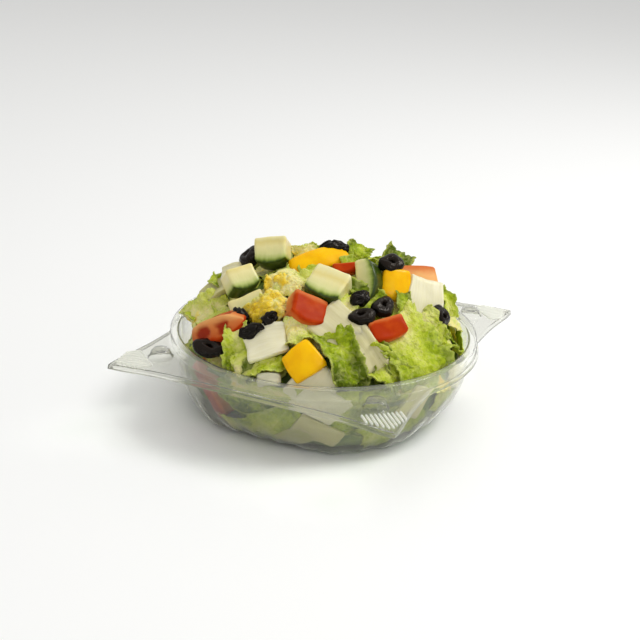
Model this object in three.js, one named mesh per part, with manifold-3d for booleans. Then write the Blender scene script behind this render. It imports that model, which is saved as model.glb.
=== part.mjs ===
// Side salad: chopped romaine heaped in a clear round bowl with a moulded edge and four corner
// tabs, topped with cucumber, pepper, tomato and olive. Millimetres, +Z up, origin on the table
// under the middle of the bowl. The bowl's tabs lie on its diagonals.
import * as THREE from 'three';
import { mergeVertices } from 'three/addons/utils/BufferGeometryUtils.js';
import Module from 'manifold-3d';

const wasm = await Module();
wasm.setup();

// ---------------------------------------------------------------- driving dimensions
const RIM_RADIUS = 85; // outside of the raised ring
const RIM_HEIGHT = 45; // top of the ring above the table
const RIM_WIDTH = 4.8; // the ring, from its outside to the bowl's inside
const SHEET = 0.8; // wall of the formed plastic
const BASE_SIDE = 59.6; // middle of the base to its flat sides
const BASE_CORNER = 66.4; // middle of the base to its cut corners
const FLUTES = 30; // upright flutes round the foot
const FLUTE_DEPTH = 0.7;
const FLANGE_DROP = 6.2; // top of the ring down to the flat edge
const FLANGE_HALF_X = 77;
const FLANGE_HALF_Y = 88.4;
const FLANGE_LIP = 2.6; // the turned-down edge
const TAB_FLARE = 4.6; // how far a tab stands out past the corner
const AROUND = 60; // steps round the bowl

const CLEARANCE = 0.35; // air between pieces that touch
const SERVING_TURN = 24.6; // degrees from the bowl's own sides to the side that the salad faces
const MOUND_FOOT = 36; // height where the bare heap leaves the wall
const MOUND_TOP = 81;
const MOUND_RADIUS = 76;
const LEAF_THICK = 1.5;
const RIB_THICK = 4.6;
const HEAP_TOLERANCE = 0.12; // finer steps than this are smoothed away in the heap

const rad = THREE.MathUtils.degToRad;
const lerp = THREE.MathUtils.lerp;

// A repeatable stream of numbers from 0 to 1.
function randomStream(seed) {
  let state = seed;
  return () => {
    state = (state * 1664525 + 1013904223) % 4294967296;
    return state / 4294967296;
  };
}

// ---------------------------------------------------------------- shared shapes

function geometryOf(points, faces) {
  const geometry = new THREE.BufferGeometry();
  const flat = points.flatMap((p) => [p.x, p.y, p.z]);
  geometry.setAttribute('position', new THREE.Float32BufferAttribute(flat, 3));
  geometry.setIndex(faces.flat());
  return geometry;
}

// Skins a stack of closed rings, each counter-clockwise, with a fan over each end.
function skinRings(rings) {
  const count = rings[0].length;
  const points = rings.flat();
  const faces = [];
  for (let r = 0; r < rings.length - 1; r += 1) {
    for (let i = 0; i < count; i += 1) {
      const a = r * count + i;
      const b = r * count + ((i + 1) % count);
      faces.push([a, b, b + count], [a, b + count, a + count]);
    }
  }
  for (const end of [0, rings.length - 1]) {
    const middle = new THREE.Vector3();
    rings[end].forEach((p) => middle.addScaledVector(p, 1 / count));
    points.push(middle);
    for (let i = 0; i < count; i += 1) {
      const a = end * count + i;
      const b = end * count + ((i + 1) % count);
      faces.push(end === 0 ? [points.length - 1, b, a] : [points.length - 1, a, b]);
    }
  }
  return geometryOf(points, faces);
}

// A sheet with a thickness: middle(u, v) gives its middle surface for u and v from -1 to 1.
// Both faces are split along the same diagonals.
function thickSheet(middle, thick, cols, rows) {
  const points = [];
  const step = 0.01;
  for (const side of [1, -1]) {
    for (let i = 0; i <= cols; i += 1) {
      for (let j = 0; j <= rows; j += 1) {
        const u = (2 * i) / cols - 1;
        const v = (2 * j) / rows - 1;
        const across = middle(u + step, v).sub(middle(u - step, v));
        const along = middle(u, v + step).sub(middle(u, v - step));
        const normal = across.cross(along).normalize();
        points.push(middle(u, v).addScaledVector(normal, (side * thick) / 2));
      }
    }
  }
  const under = points.length / 2;
  const at = (i, j) => i * (rows + 1) + j;
  const faces = [];
  for (let i = 0; i < cols; i += 1) {
    for (let j = 0; j < rows; j += 1) {
      const [a, b, c, d] = [at(i, j), at(i + 1, j), at(i + 1, j + 1), at(i, j + 1)];
      faces.push([a, b, c], [a, c, d]);
      faces.push([under + a, under + c, under + b], [under + a, under + d, under + c]);
    }
  }
  const rim = [];
  for (let i = 0; i < cols; i += 1) rim.push(at(i, 0));
  for (let j = 0; j < rows; j += 1) rim.push(at(cols, j));
  for (let i = cols; i > 0; i -= 1) rim.push(at(i, rows));
  for (let j = rows; j > 0; j -= 1) rim.push(at(0, j));
  rim.forEach((a, k) => {
    const b = rim[(k + 1) % rim.length];
    faces.push([a, under + a, under + b], [a, under + b, b]);
  });
  return geometryOf(points, faces);
}

// ---------------------------------------------------------------- joining and cutting

function toSolid(geometry, matrix = new THREE.Matrix4()) {
  const bare = geometry.clone().applyMatrix4(matrix);
  bare.deleteAttribute('normal');
  bare.deleteAttribute('uv');
  const merged = mergeVertices(bare, 1e-4);
  const triVerts = new Uint32Array(merged.index.array);
  const vertProperties = new Float32Array(merged.attributes.position.array);
  return new wasm.Manifold(new wasm.Mesh({ numProp: 3, vertProperties, triVerts }));
}

// The biggest single body of a solid, with loose scraps and shut-in hollows left out.
function biggestBody(solid) {
  const bodies = solid.decompose();
  return bodies.reduce((best, body) => (body.volume() > best.volume() ? body : best));
}

function toGeometry(solid) {
  const mesh = solid.getMesh();
  const geometry = new THREE.BufferGeometry();
  geometry.setAttribute('position', new THREE.Float32BufferAttribute(mesh.vertProperties, 3));
  geometry.setIndex(Array.from(mesh.triVerts));
  return geometry;
}

function boxesTouch(a, b) {
  return [0, 1, 2].every((k) => a.min[k] <= b.max[k] && b.min[k] <= a.max[k]);
}

// ---------------------------------------------------------------- the bowl

// The base is an eight-sided outline with soft corners.
function baseRadius(angle) {
  const softness = 32;
  let sum = 0;
  for (let side = 0; side < 8; side += 1) {
    const distance = side % 2 === 0 ? BASE_SIDE : BASE_CORNER;
    const reach = Math.cos(angle - (side * Math.PI) / 4) / distance;
    if (reach > 0) sum += reach ** softness;
  }
  return sum ** (-1 / softness);
}

// The middle of the wall at a height: eight-sided at the foot, round at the ring.
function wallRadius(angle, height) {
  const rise = Math.min(1, height / (RIM_HEIGHT - 4));
  const round = 1 - (1 - rise) ** 3.4;
  const ring = RIM_RADIUS - RIM_WIDTH + SHEET / 2;
  const fluted = FLUTE_DEPTH * Math.cos(FLUTES * angle) * Math.max(0, 1 - rise * 1.5);
  return lerp(baseRadius(angle), ring, round) + fluted;
}

// The flat edge is a rectangle where that is wider than the ring, with flared corners.
function flangeRadius(angle) {
  const acrossX = FLANGE_HALF_X / Math.abs(Math.cos(angle));
  const acrossY = FLANGE_HALF_Y / Math.abs(Math.sin(angle));
  const corner = Math.atan2(FLANGE_HALF_Y, FLANGE_HALF_X);
  const folded = Math.atan2(Math.abs(Math.sin(angle)), Math.abs(Math.cos(angle)));
  const flare = TAB_FLARE * Math.exp(-(((folded - corner) / rad(7)) ** 2));
  return Math.max(RIM_RADIUS + 0.6, Math.min(acrossX, acrossY)) + flare;
}

// The middle line of the sheet at one angle, from the base out to the edge of the lip.
function bowlProfile(angle) {
  const flat = SHEET / 2;
  const top = RIM_HEIGHT - SHEET / 2;
  const flange = RIM_HEIGHT - FLANGE_DROP;
  const inside = RIM_RADIUS - RIM_WIDTH + SHEET / 2;
  const outside = RIM_RADIUS - SHEET / 2;
  const edge = flangeRadius(angle);
  const wall = [3.5, 10, 21, 34].map((z) => new THREE.Vector2(wallRadius(angle, z), z));
  return [
    new THREE.Vector2(wallRadius(angle, flat) - 0.4, flat),
    ...wall,
    new THREE.Vector2(inside, top),
    new THREE.Vector2(outside, top),
    new THREE.Vector2(outside, flange),
    new THREE.Vector2(edge, flange),
    new THREE.Vector2(edge + 0.5, flange - FLANGE_LIP),
  ];
}

// Moves a line sideways by a distance, with mitred corners.
function offsetLine(line, distance) {
  const normals = line.slice(1).map((p, i) => {
    const way = p.clone().sub(line[i]).normalize();
    return new THREE.Vector2(-way.y, way.x);
  });
  return line.map((p, i) => {
    const before = normals[Math.max(0, i - 1)];
    const after = normals[Math.min(normals.length - 1, i)];
    const mean = before.clone().add(after).normalize();
    return p.clone().addScaledVector(mean, distance / mean.dot(after));
  });
}

function bowlShell() {
  const columns = [];
  for (let i = 0; i < AROUND; i += 1) {
    const angle = (i / AROUND) * 2 * Math.PI;
    const line = bowlProfile(angle);
    const under = offsetLine(line, -SHEET / 2);
    const over = offsetLine(line, SHEET / 2).reverse();
    const around = (p) => new THREE.Vector3(p.x * Math.cos(angle), p.x * Math.sin(angle), p.y);
    columns.push([...under, ...over].map(around));
  }
  return skinRings(columns[0].map((_, row) => columns.map((column) => column[row])));
}

// Each corner has a raised button that the lid snaps over, and a ribbed grip outside it.
function cornerRelief() {
  const flange = RIM_HEIGHT - FLANGE_DROP;
  const button = { along: 94, wide: 6.4, tall: 4.4 };
  const grip = { from: 104, to: 117, ribs: 7, pitch: 3, wide: 1.3, tall: 1.1 };
  const pieces = [];
  for (const sx of [1, -1]) {
    for (const sy of [1, -1]) {
      const way = Math.atan2(sy * FLANGE_HALF_Y, sx * FLANGE_HALF_X);
      const turn = new THREE.Matrix4().makeRotationZ(way);
      const cap = new THREE.CylinderGeometry(button.wide - 1, button.wide, button.tall, 12);
      cap.rotateX(Math.PI / 2);
      cap.translate(button.along, 0, flange + button.tall / 2);
      pieces.push(toSolid(cap, turn));
      for (let k = 0; k < grip.ribs; k += 1) {
        const rib = new THREE.BoxGeometry(grip.to - grip.from, grip.wide, grip.tall);
        const aside = (k - (grip.ribs - 1) / 2) * grip.pitch;
        const length = 1 - 0.05 * Math.abs(aside);
        rib.scale(length, 1, 1);
        rib.translate((grip.from + grip.to) / 2, aside, flange + SHEET / 2);
        pieces.push(toSolid(rib, turn));
      }
    }
  }
  return pieces;
}

const bowlSolid = wasm.Manifold.union([toSolid(bowlShell()), ...cornerRelief()]);

// ---------------------------------------------------------------- places on the salad

// A piece's place: its middle, the way its broad face looks (bearing and lift in degrees, with
// bearing -90 to the front and lift 90 straight up), and a spin about that direction.
function pose({ at, bearing, lift, spin = 0 }) {
  const b = rad(bearing);
  const l = rad(lift);
  const out = new THREE.Vector3(Math.cos(b) * Math.cos(l), Math.sin(b) * Math.cos(l), Math.sin(l));
  const level = new THREE.Vector3(-Math.sin(b), Math.cos(b), 0);
  const upward = out.clone().cross(level);
  const frame = new THREE.Matrix4().makeBasis(level, upward, out);
  frame.multiply(new THREE.Matrix4().makeRotationZ(rad(spin)));
  return frame.setPosition(...at);
}

const servingTurn = new THREE.Matrix4().makeRotationZ(rad(SERVING_TURN));

// ---------------------------------------------------------------- the toppings

// A chunk cut from a round fruit: flat cut faces, and a bulging skin on the side of -y.
function cutChunk({ wide, deep, thick, bulge }) {
  const soft = 1.4;
  const x = wide / 2 - soft;
  const y = deep / 2 - soft;
  const outline = new THREE.Shape();
  outline.moveTo(x, y);
  outline.lineTo(-x, y);
  outline.lineTo(-x, -y + bulge);
  outline.quadraticCurveTo(0, -y - bulge, x, -y + bulge);
  outline.closePath();
  const geometry = new THREE.ExtrudeGeometry(outline, {
    depth: thick - 2 * soft,
    curveSegments: 4,
    bevelThickness: soft,
    bevelSize: soft,
    bevelSegments: 1,
  });
  return geometry.translate(0, 0, -(thick - 2 * soft) / 2);
}

// A wall piece of a pepper: an even slab, bowed outwards, with rounded corners.
function pepperSlab({ wide, deep, thick, bow }) {
  const round = 0.55;
  const middle = (u, v) => {
    const x = (wide / 2) * u * Math.sqrt(1 - (round * v * v) / 2);
    const y = (deep / 2) * v * Math.sqrt(1 - (round * u * u) / 2);
    return new THREE.Vector3(x, y, bow * (0.5 - 0.8 * u * u - 0.3 * v * v));
  };
  return thickSheet(middle, thick, 4, 4);
}

// A segment of a tomato: round skin outside, and two cut faces that meet at the core.
function tomatoWedge({ wide, deep, thick }) {
  const rings = [];
  const steps = 6;
  for (let i = 0; i <= steps; i += 1) {
    const t = (0.94 * (2 * i)) / steps - 0.94;
    const girth = Math.sqrt(1 - t * t);
    const ring = [];
    for (let k = 0; k < 6; k += 1) {
      const a = rad(lerp(-12, 192, k / 5));
      const across = (deep / 2) * Math.cos(a);
      const out = (thick / 2) * Math.sin(a);
      ring.push(new THREE.Vector3((wide / 2) * t, across * girth, out * girth * 0.9));
    }
    ring.push(new THREE.Vector3((wide / 2) * t * 0.9, 0, (-thick / 2) * girth));
    rings.push(ring);
  }
  return skinRings(rings);
}

// A slice of a pitted olive, a little out of round.
function oliveSlice({ wide, deep, thick, hole = 1.2 }) {
  const outer = wide / 2;
  const profile = [
    new THREE.Vector2(hole, -thick / 2),
    new THREE.Vector2(outer * 0.82, -thick / 2),
    new THREE.Vector2(outer, 0),
    new THREE.Vector2(outer * 0.82, thick / 2),
    new THREE.Vector2(hole, thick / 2),
    new THREE.Vector2(hole, -thick / 2),
  ];
  const geometry = new THREE.LatheGeometry(profile, 9);
  geometry.rotateX(Math.PI / 2);
  return geometry.scale(1, deep / wide, 1);
}

// A crinkled end or half of an olive.
function oliveEnd({ wide, deep, thick }) {
  const geometry = new THREE.IcosahedronGeometry(0.5, 1);
  const place = geometry.attributes.position;
  for (let i = 0; i < place.count; i += 1) {
    const p = new THREE.Vector3().fromBufferAttribute(place, i);
    const crinkle = 1 + 0.13 * Math.sin(11 * p.x + 3) * Math.sin(13 * p.y + 7 * p.z);
    place.setXYZ(i, p.x * crinkle, p.y * crinkle, p.z * crinkle);
  }
  return geometry.scale(wide, deep, thick);
}

const MAKERS = { cucumber: cutChunk, tomato: cutChunk, wedge: tomatoWedge, pepper: pepperSlab };
MAKERS.olive = oliveSlice;
MAKERS.end = oliveEnd;

// Toppings in the order they rest on each other: an earlier one keeps its whole shape, and a
// later one gives way where they meet. The first of each kind are those on the side it faces.
const TOPPINGS = [
  ['cucumber_top', 'cucumber', [-29.5, 3.5, 84.5], -107, 36, 13, [17.5, 16, 14, 2.5]],
  ['cucumber_middle', 'cucumber', [1, -32, 78], -99, 58, -19, [20, 19, 14, 2.5]],
  ['cucumber_left', 'cucumber', [-45.5, -14, 73.5], -68, 44, 11, [16, 14, 14, 2.5]],
  ['cucumber_slice', 'cucumber', [24, -17, 78], -124, 31, 118, [23, 12, 13, 4.5]],
  ['cucumber_corner', 'cucumber', [-40, -30, 65.5], -104, 40, 32, [19, 12, 9, 1.5]],
  ['cucumber_back', 'cucumber', [42, 53, 55.5], 52, 44, 15, [21, 19, 14, 2.5]],
  ['pepper_front', 'pepper', [-10, -71.6, 53.8], -96, 34, 41, [18, 17, 6, 1.6]],
  ['pepper_right', 'pepper', [37.7, -16.3, 76], -72, 36, -12, [17, 17.5, 5, 2]],
  ['pepper_strip', 'pepper', [-4.5, 1, 82], -82, 54, 18, [34, 13, 5, 2.5]],
  ['pepper_back', 'pepper', [-26, 48, 67], 118, 46, 30, [24, 20, 6, 2]],
  ['tomato_middle', 'tomato', [-10, -47.5, 70.5], -54, 45, -36, [19, 16.5, 12, 2.5]],
  ['tomato_left', 'wedge', [-55, -39, 56.5], 23, -46, 136, [37, 20, 17]],
  ['tomato_right', 'tomato', [32, -49, 62.5], -70, 44, 12, [20, 12, 11, 2]],
  ['tomato_far_right', 'tomato', [47.5, 3, 73.5], -70, 56, 176, [27, 13, 8, 1.5]],
  ['tomato_sliver', 'tomato', [10.5, -9, 81], -80, 50, 4, [15, 6.5, 6, 1.5]],
  ['tomato_back', 'wedge', [8, 64, 58], 86, 40, 20, [34, 19, 17]],
  ['tomato_low', 'tomato', [-57.3, -40.2, 23], -145, -14, -50, [32, 13, 8, 1.5]],
  ['olive_front', 'olive', [19, -49, 70], -100, 74, 10, [14, 12, 6]],
  ['olive_pair', 'olive', [30, -39, 72], -50, 66, 30, [15, 12, 6]],
  ['olive_piece', 'end', [18, -38, 76], -80, 60, 35, [12, 8, 7]],
  ['olive_right', 'olive', [34.8, -9, 85.3], -70, 62, 0, [15, 12, 6]],
  ['olive_crest', 'end', [4, 10, 86.5], -84, 60, 6, [17, 9, 8]],
  ['olive_back_left', 'olive', [-42, 5, 81.5], -166, 50, 20, [13, 13, 7]],
  ['olive_crinkled', 'end', [-37, -57, 63.5], -104, 50, 32, [13, 8, 8]],
  ['olive_crinkled_tip', 'end', [-28, -54, 69], -100, 55, 46, [9, 6, 6]],
  ['olive_left', 'olive', [-58.5, -48.5, 49.4], -120, 62, 4, [20, 11, 6]],
  ['olive_corner', 'end', [-43, -43, 64.5], -110, 40, -38, [13, 7, 6]],
  ['olive_far_right', 'olive', [62.5, -20, 60.5], -30, 30, 60, [13, 11, 6]],
  ['olive_behind', 'olive', [52, 34, 60], 32, 46, 0, [14, 12, 6]],
  ['olive_behind_left', 'olive', [-46, 38, 62], 140, 48, 0, [14, 12, 6]],
];

const COLOURS = {
  cucumber: 0xc3cc86,
  pepper: 0xf2b40c,
  tomato: 0xc8421f,
  wedge: 0xb84a2c,
  olive: 0x1c171c,
  end: 0x1f191d,
};

// The room that a topping takes out of what it rests on: a plain block or drum round it.
function socketShape(kind, { wide, deep, thick, bulge = 0 }) {
  const grown = 2 * CLEARANCE;
  if (kind === 'olive' || kind === 'end') {
    const drum = new THREE.CylinderGeometry(0.52, 0.52, thick + grown, 9).rotateX(Math.PI / 2);
    return drum.scale(wide + grown, deep + grown, 1);
  }
  if (kind === 'wedge') {
    return tomatoWedge({ wide: wide + grown, deep: deep + grown, thick: thick + grown });
  }
  const bowed = kind === 'pepper' ? 1 : 0;
  const lean = 0.35 * thick * bowed;
  const room = thick + 1.3 * bulge * bowed;
  return new THREE.BoxGeometry(wide + lean + grown, deep + lean + grown, room + grown);
}

function describeTopping([name, kind, at, bearing, lift, spin, sizes]) {
  const [wide, deep, thick, bulge] = sizes;
  const size = { wide, deep, thick, bulge, bow: bulge };
  const inBowl = servingTurn.clone().multiply(pose({ at, bearing, lift, spin }));
  const solid = toSolid(MAKERS[kind](size), inBowl);
  return { name, kind, solid, socket: toSolid(socketShape(kind, size), inBowl) };
}

const toppings = TOPPINGS.map(describeTopping);
toppings.forEach((topping, i) => {
  const box = topping.solid.boundingBox();
  const near = toppings.slice(0, i).filter((t) => boxesTouch(t.socket.boundingBox(), box));
  if (near.length === 0) return;
  const cut = topping.solid.subtract(wasm.Manifold.union(near.map((t) => t.socket)));
  topping.solid = biggestBody(cut);
});

// ---------------------------------------------------------------- the lettuce heap

// The bare heap fills the bowl to just under the ring and rises in an uneven dome.
function bareHeap() {
  const steps = 28;
  const rings = [];
  const foot = SHEET + CLEARANCE;
  const gap = SHEET / 2 + 0.9;
  for (const z of [foot, 4, 11, 22, MOUND_FOOT - 3]) {
    const ring = [];
    for (let i = 0; i < steps; i += 1) {
      const angle = (i / steps) * 2 * Math.PI;
      const r = wallRadius(angle, z) - gap - (z === foot ? 2.5 : 0) - FLUTE_DEPTH;
      ring.push(new THREE.Vector3(r * Math.cos(angle), r * Math.sin(angle), z));
    }
    rings.push(ring);
  }
  for (const share of [1, 0.94, 0.84, 0.68, 0.47, 0.22]) {
    const ring = [];
    for (let i = 0; i < steps; i += 1) {
      const angle = (i / steps) * 2 * Math.PI;
      const lump = Math.sin(3 * angle + 9 * share) + 0.7 * Math.sin(5 * angle - 14 * share);
      const r = MOUND_RADIUS * share * (1 + 0.014 * lump * (1 - share ** 6));
      const z = lerp(MOUND_TOP, MOUND_FOOT, share ** 2.5) + 0.9 * lump * (1 - share ** 6);
      ring.push(new THREE.Vector3(r * Math.cos(angle), r * Math.sin(angle), z));
    }
    rings.push(ring);
  }
  return skinRings(rings);
}

// A torn leaf: narrow at the rib end, ruffled along its sides, cupped and curled.
function leaf({ long, wide, cup, curl, ruffle, phase }) {
  const middle = (u, v) => {
    const narrow = 0.72 + 0.28 * Math.sin(((u + 1) * Math.PI) / 2.4);
    const torn = 1 + 0.09 * Math.sin(5 * v + phase) * (u > 0 ? u : 0);
    const wave = ruffle * Math.sin(4.2 * u + phase + 1.6 * v) * v * v;
    const x = (long / 2) * u * torn;
    const y = (wide / 2) * v * narrow * (1 + 0.1 * Math.sin(7 * u + phase));
    return new THREE.Vector3(x, y, cup * v * v - curl * u * u + wave);
  };
  return thickSheet(middle, LEAF_THICK, 4, 3);
}

// A thick white rib end, a little dished, wider at its foot.
function ribPiece({ long, wide, cup, curl }) {
  const middle = (u, v) => {
    const y = (wide / 2) * v * (1 - 0.1 * u);
    return new THREE.Vector3((long / 2) * u, y, cup * v * v - curl * u * u);
  };
  return thickSheet(middle, RIB_THICK, 3, 2);
}

// The pieces that show on the side it faces: kind, middle, bearing, lift, spin, length, width,
// cup, curl and ruffle.
const LEAVES = [
  ['rib', [-29, -60, 59], -98, 46, 20, 22, 18, 1.5, 1, 0],
  ['rib', [8.8, -54.5, 64], -84, 48, -46, 30, 22, 1, 2, 0],
  ['rib', [21, -61.5, 57], -80, 42, -58, 24, 15, 1, 2, 0],
  ['rib', [53, -16, 68], -62, 36, 66, 25, 21, 1.5, 1, 0],
  ['rib', [-4, -75, 42.5], -92, 16, 60, 22, 22, 1, 1, 0],
  ['rib', [-61, -1, 62], -150, 44, 70, 18, 14, 1, 1, 0],
  ['leaf', [45, -51.5, 55], -60, 45, -72, 35, 35, 3, 3, 3],
  ['leaf', [54.5, -31, 56], -48, 36, -70, 25, 23, 3, 3, 3],
  ['leaf', [32, -65, 48], -66, 30, -40, 26, 18, 4, 4, 3],
  ['leaf', [12, -71, 54], -84, 38, -70, 34, 22, 4, 2, 3],
  ['leaf', [-14, -58, 65], -94, 50, 20, 18, 16, 2, 3, 3],
  ['leaf', [-29, -42, 71], -104, 54, 40, 23, 20, 2, 4, 4],
  ['leaf', [-20, -25, 78], -96, 56, 10, 26, 19, 2, 4, 4],
  ['leaf', [-44, -55, 55], -116, 38, -70, 26, 13, 3, 2, 2],
  ['leaf', [-33, -66, 50], -108, 36, 30, 26, 18, 3, 3, 3],
  ['leaf', [-63, -15, 57], -150, 46, 64, 28, 24, 3, 3, 3],
  ['leaf', [16, 16, 80], -84, 34, 60, 18, 15, 3, 2, 3],
  ['leaf', [36, 13, 76.5], -78, 42, 50, 24, 17, 3, 2, 2],
  ['leaf', [66, -4, 63], -34, 40, 76, 19, 11, 3, 3, 3],
];

// Round the sides and back the leaves lie in two loose rows, at random.
function furtherLeaves() {
  const random = randomStream(7);
  const rows = [
    { count: 8, from: 8, to: 186, radius: 64, height: 54, lift: 38 },
    { count: 5, from: 24, to: 166, radius: 42, height: 68.5, lift: 60 },
  ];
  const leaves = [];
  for (const row of rows) {
    for (let i = 0; i < row.count; i += 1) {
      const bearing = lerp(row.from, row.to, (i + 0.7 * random()) / row.count);
      const radius = row.radius + 4 * random() - 2;
      const x = radius * Math.cos(rad(bearing));
      const y = radius * Math.sin(rad(bearing));
      const at = [x, y, row.height + 4 * random()];
      const kind = random() < 0.22 ? 'rib' : 'leaf';
      const spin = 180 * random();
      const long = 26 + 10 * random();
      const wide = kind === 'rib' ? 17 : 22 + 8 * random();
      leaves.push([kind, at, bearing, row.lift, spin, long, wide, 3, 3, 3]);
    }
  }
  return leaves;
}

function heapPiece([kind, at, bearing, lift, spin, long, wide, cup, curl, ruffle], i) {
  const make = kind === 'rib' ? ribPiece : leaf;
  const geometry = make({ long, wide, cup, curl, ruffle, phase: 1.7 * i });
  const place = servingTurn.clone().multiply(pose({ at, bearing, lift, spin }));
  return toSolid(geometry, place);
}

// The room that the heap may take: inside the bowl's wall, and wider above its ring.
function bowlRoom() {
  const ringAt = (z, radius) => {
    const ring = [];
    for (let i = 0; i < AROUND; i += 1) {
      const angle = (i / AROUND) * 2 * Math.PI;
      const r = radius(angle);
      ring.push(new THREE.Vector3(r * Math.cos(angle), r * Math.sin(angle), z));
    }
    return ring;
  };
  const above = RIM_HEIGHT + CLEARANCE;
  const inside = RIM_RADIUS - RIM_WIDTH - CLEARANCE;
  const wall = (z) => ringAt(z, (angle) => wallRadius(angle, z) - SHEET / 2 - CLEARANCE);
  return skinRings([
    ...[2 * SHEET, 10, 21, 34].map(wall),
    ringAt(above, () => inside),
    ringAt(above + 0.1, () => RIM_RADIUS + 2),
    ringAt(above + 60, () => RIM_RADIUS + 2),
  ]);
}

const sockets = wasm.Manifold.union(toppings.map((topping) => topping.socket));
const leaves = [...LEAVES, ...furtherLeaves()].map(heapPiece);
const heap = wasm.Manifold.union([toSolid(bareHeap()), ...leaves]);
const heapSolid = biggestBody(heap.intersect(toSolid(bowlRoom())).subtract(sockets).simplify(HEAP_TOLERANCE));

// ---------------------------------------------------------------- the finished scene graph

function named(name, geometry, color, roughness, extra = {}) {
  const material = new THREE.MeshStandardMaterial({ color, roughness, metalness: 0, ...extra });
  const mesh = new THREE.Mesh(geometry, material);
  mesh.name = name;
  return mesh;
}

const salad = new THREE.Group();
const clear = { transparent: true, opacity: 0.3 };
salad.add(named('bowl', toGeometry(bowlSolid), 0xeef2f0, 0.12, clear));
salad.add(named('lettuce_heap', toGeometry(heapSolid), 0xa9bf4a, 0.6));
for (const topping of toppings) {
  salad.add(named(topping.name, toGeometry(topping.solid), COLOURS[topping.kind], 0.35));
}

export default salad;
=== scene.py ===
# %% [markdown]
# # A side salad in a clear plastic bowl
# Chopped romaine is heaped in a clear formed bowl and topped with cucumber, yellow pepper, tomato
# and black olive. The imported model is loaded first: it fixes every size and place. Each piece of
# food is then made again at the same place, with the finer surface of the real thing.

# %% The fixed frame
import math

import bmesh
import bpy
import numpy as np
from mathutils import Matrix, Vector, noise


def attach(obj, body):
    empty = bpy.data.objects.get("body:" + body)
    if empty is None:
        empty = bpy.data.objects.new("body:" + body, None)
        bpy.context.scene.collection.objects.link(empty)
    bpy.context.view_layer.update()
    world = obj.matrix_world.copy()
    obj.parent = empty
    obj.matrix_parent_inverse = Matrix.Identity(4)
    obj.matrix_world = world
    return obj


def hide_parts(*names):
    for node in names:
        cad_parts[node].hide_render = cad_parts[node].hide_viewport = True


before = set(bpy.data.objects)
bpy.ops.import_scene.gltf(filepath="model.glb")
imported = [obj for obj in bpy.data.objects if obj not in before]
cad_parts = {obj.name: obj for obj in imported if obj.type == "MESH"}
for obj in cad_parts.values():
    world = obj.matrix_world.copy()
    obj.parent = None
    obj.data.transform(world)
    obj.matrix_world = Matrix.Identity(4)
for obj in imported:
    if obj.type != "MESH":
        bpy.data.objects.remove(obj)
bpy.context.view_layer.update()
print("nodes:", len(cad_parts))

MM = 0.001

# %% [markdown]
# ## Small helpers
# A colour is given as sRGB hex, but shaders work in linear light, so one function turns
# one into the other. Another adds a node with its settings and links. The rest start a material,
# fill a colour ramp, and turn arrays of points and faces into an object.

# %% Colours, nodes and materials


def linear(hex_colour):
    """An sRGB hex colour such as "a9bf4a" as linear red, green, blue and alpha."""
    parts = [int(hex_colour[i : i + 2], 16) / 255 for i in (0, 2, 4)]
    bent = [c / 12.92 if c <= 0.04045 else ((c + 0.055) / 1.055) ** 2.4 for c in parts]
    return (*bent, 1.0)


MATH, VECTOR_MATH = "ShaderNodeMath", "ShaderNodeVectorMath"


def add_node(tree, kind, operation=None, **values):
    """Adds a node, with its operation if it has one. Names in lower case are its other settings,
    which come first. The rest are its inputs, by name with _ for a space or by number. They take
    a plain value, or what to link: a socket, or a node for its first output."""
    node = tree.nodes.new(kind)
    if operation:
        node.operation = operation
    for key, value in values.items():
        if key[0].islower():
            setattr(node, key, value)
            continue
        name = key[1:] if key.startswith("_") else key.replace("_", " ")
        socket = node.inputs[int(name)] if name.isdigit() else node.inputs[name]
        if isinstance(value, bpy.types.Node):
            value = value.outputs[0]
        if isinstance(value, bpy.types.NodeSocket):
            tree.links.new(value, socket)
        else:
            socket.default_value = value
    return node


def new_material(name, **values):
    """A material, its tree and its shader, with the given values on the shader's own sockets."""
    material = bpy.data.materials.new(name)
    material.use_nodes = True
    shader = material.node_tree.nodes["Principled BSDF"]
    for key, value in values.items():
        shader.inputs[key.replace("_", " ")].default_value = value
    return material, material.node_tree, shader


def set_stops(ramp, stops):
    """Gives a colour ramp its colours: pairs of a place and an sRGB hex colour."""
    elements = ramp.color_ramp.elements
    while len(elements) < len(stops):
        elements.new(0.5)
    for element, (where, colour) in zip(elements, stops):
        element.position = where
        element.color = linear(colour)


print("mid grey is", round(linear("808080")[0], 3), "in linear light")

# %% Meshes


def finished_object(name, verts, faces, attributes=None):
    """A smooth mesh object at the origin, in metres, from points in millimetres."""
    mesh = bpy.data.meshes.new(name)
    mesh.from_pydata((np.asarray(verts) * MM).tolist(), [], [list(f) for f in faces])
    for key, values in (attributes or {}).items():
        values = np.asarray(values, dtype=np.float32)
        kind = "FLOAT" if values.ndim == 1 else "FLOAT_VECTOR"
        field = "value" if values.ndim == 1 else "vector"
        mesh.attributes.new(key, kind, "POINT").data.foreach_set(field, values.ravel())
    mesh.shade_smooth()
    mesh.update()
    piece = bpy.data.objects.new(name, mesh)
    bpy.context.scene.collection.objects.link(piece)
    return piece


def dress(piece, material, slot, *nodes):
    """Gives a piece its material, attaches it to the root, and hides the imported nodes that it stands for.
    """
    piece.data.materials.append(material)
    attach(piece, "root")
    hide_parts(*nodes)
    return len(piece.data.polygons)


class Batch:
    """Gathers many shapes of one kind, with their attributes, into one mesh."""

    def __init__(self):
        self.verts, self.faces, self.attributes, self.count = [], [], {}, 0

    def add(self, verts, faces, attributes):
        self.verts.append(verts)
        self.faces.extend([[i + self.count for i in face] for face in faces])
        for key, values in attributes.items():
            self.attributes.setdefault(key, []).append(values)
        self.count += len(verts)

    def finish(self, name):
        attributes = {key: np.concatenate(parts) for key, parts in self.attributes.items()}
        return finished_object(name, np.concatenate(self.verts), self.faces, attributes)


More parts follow.
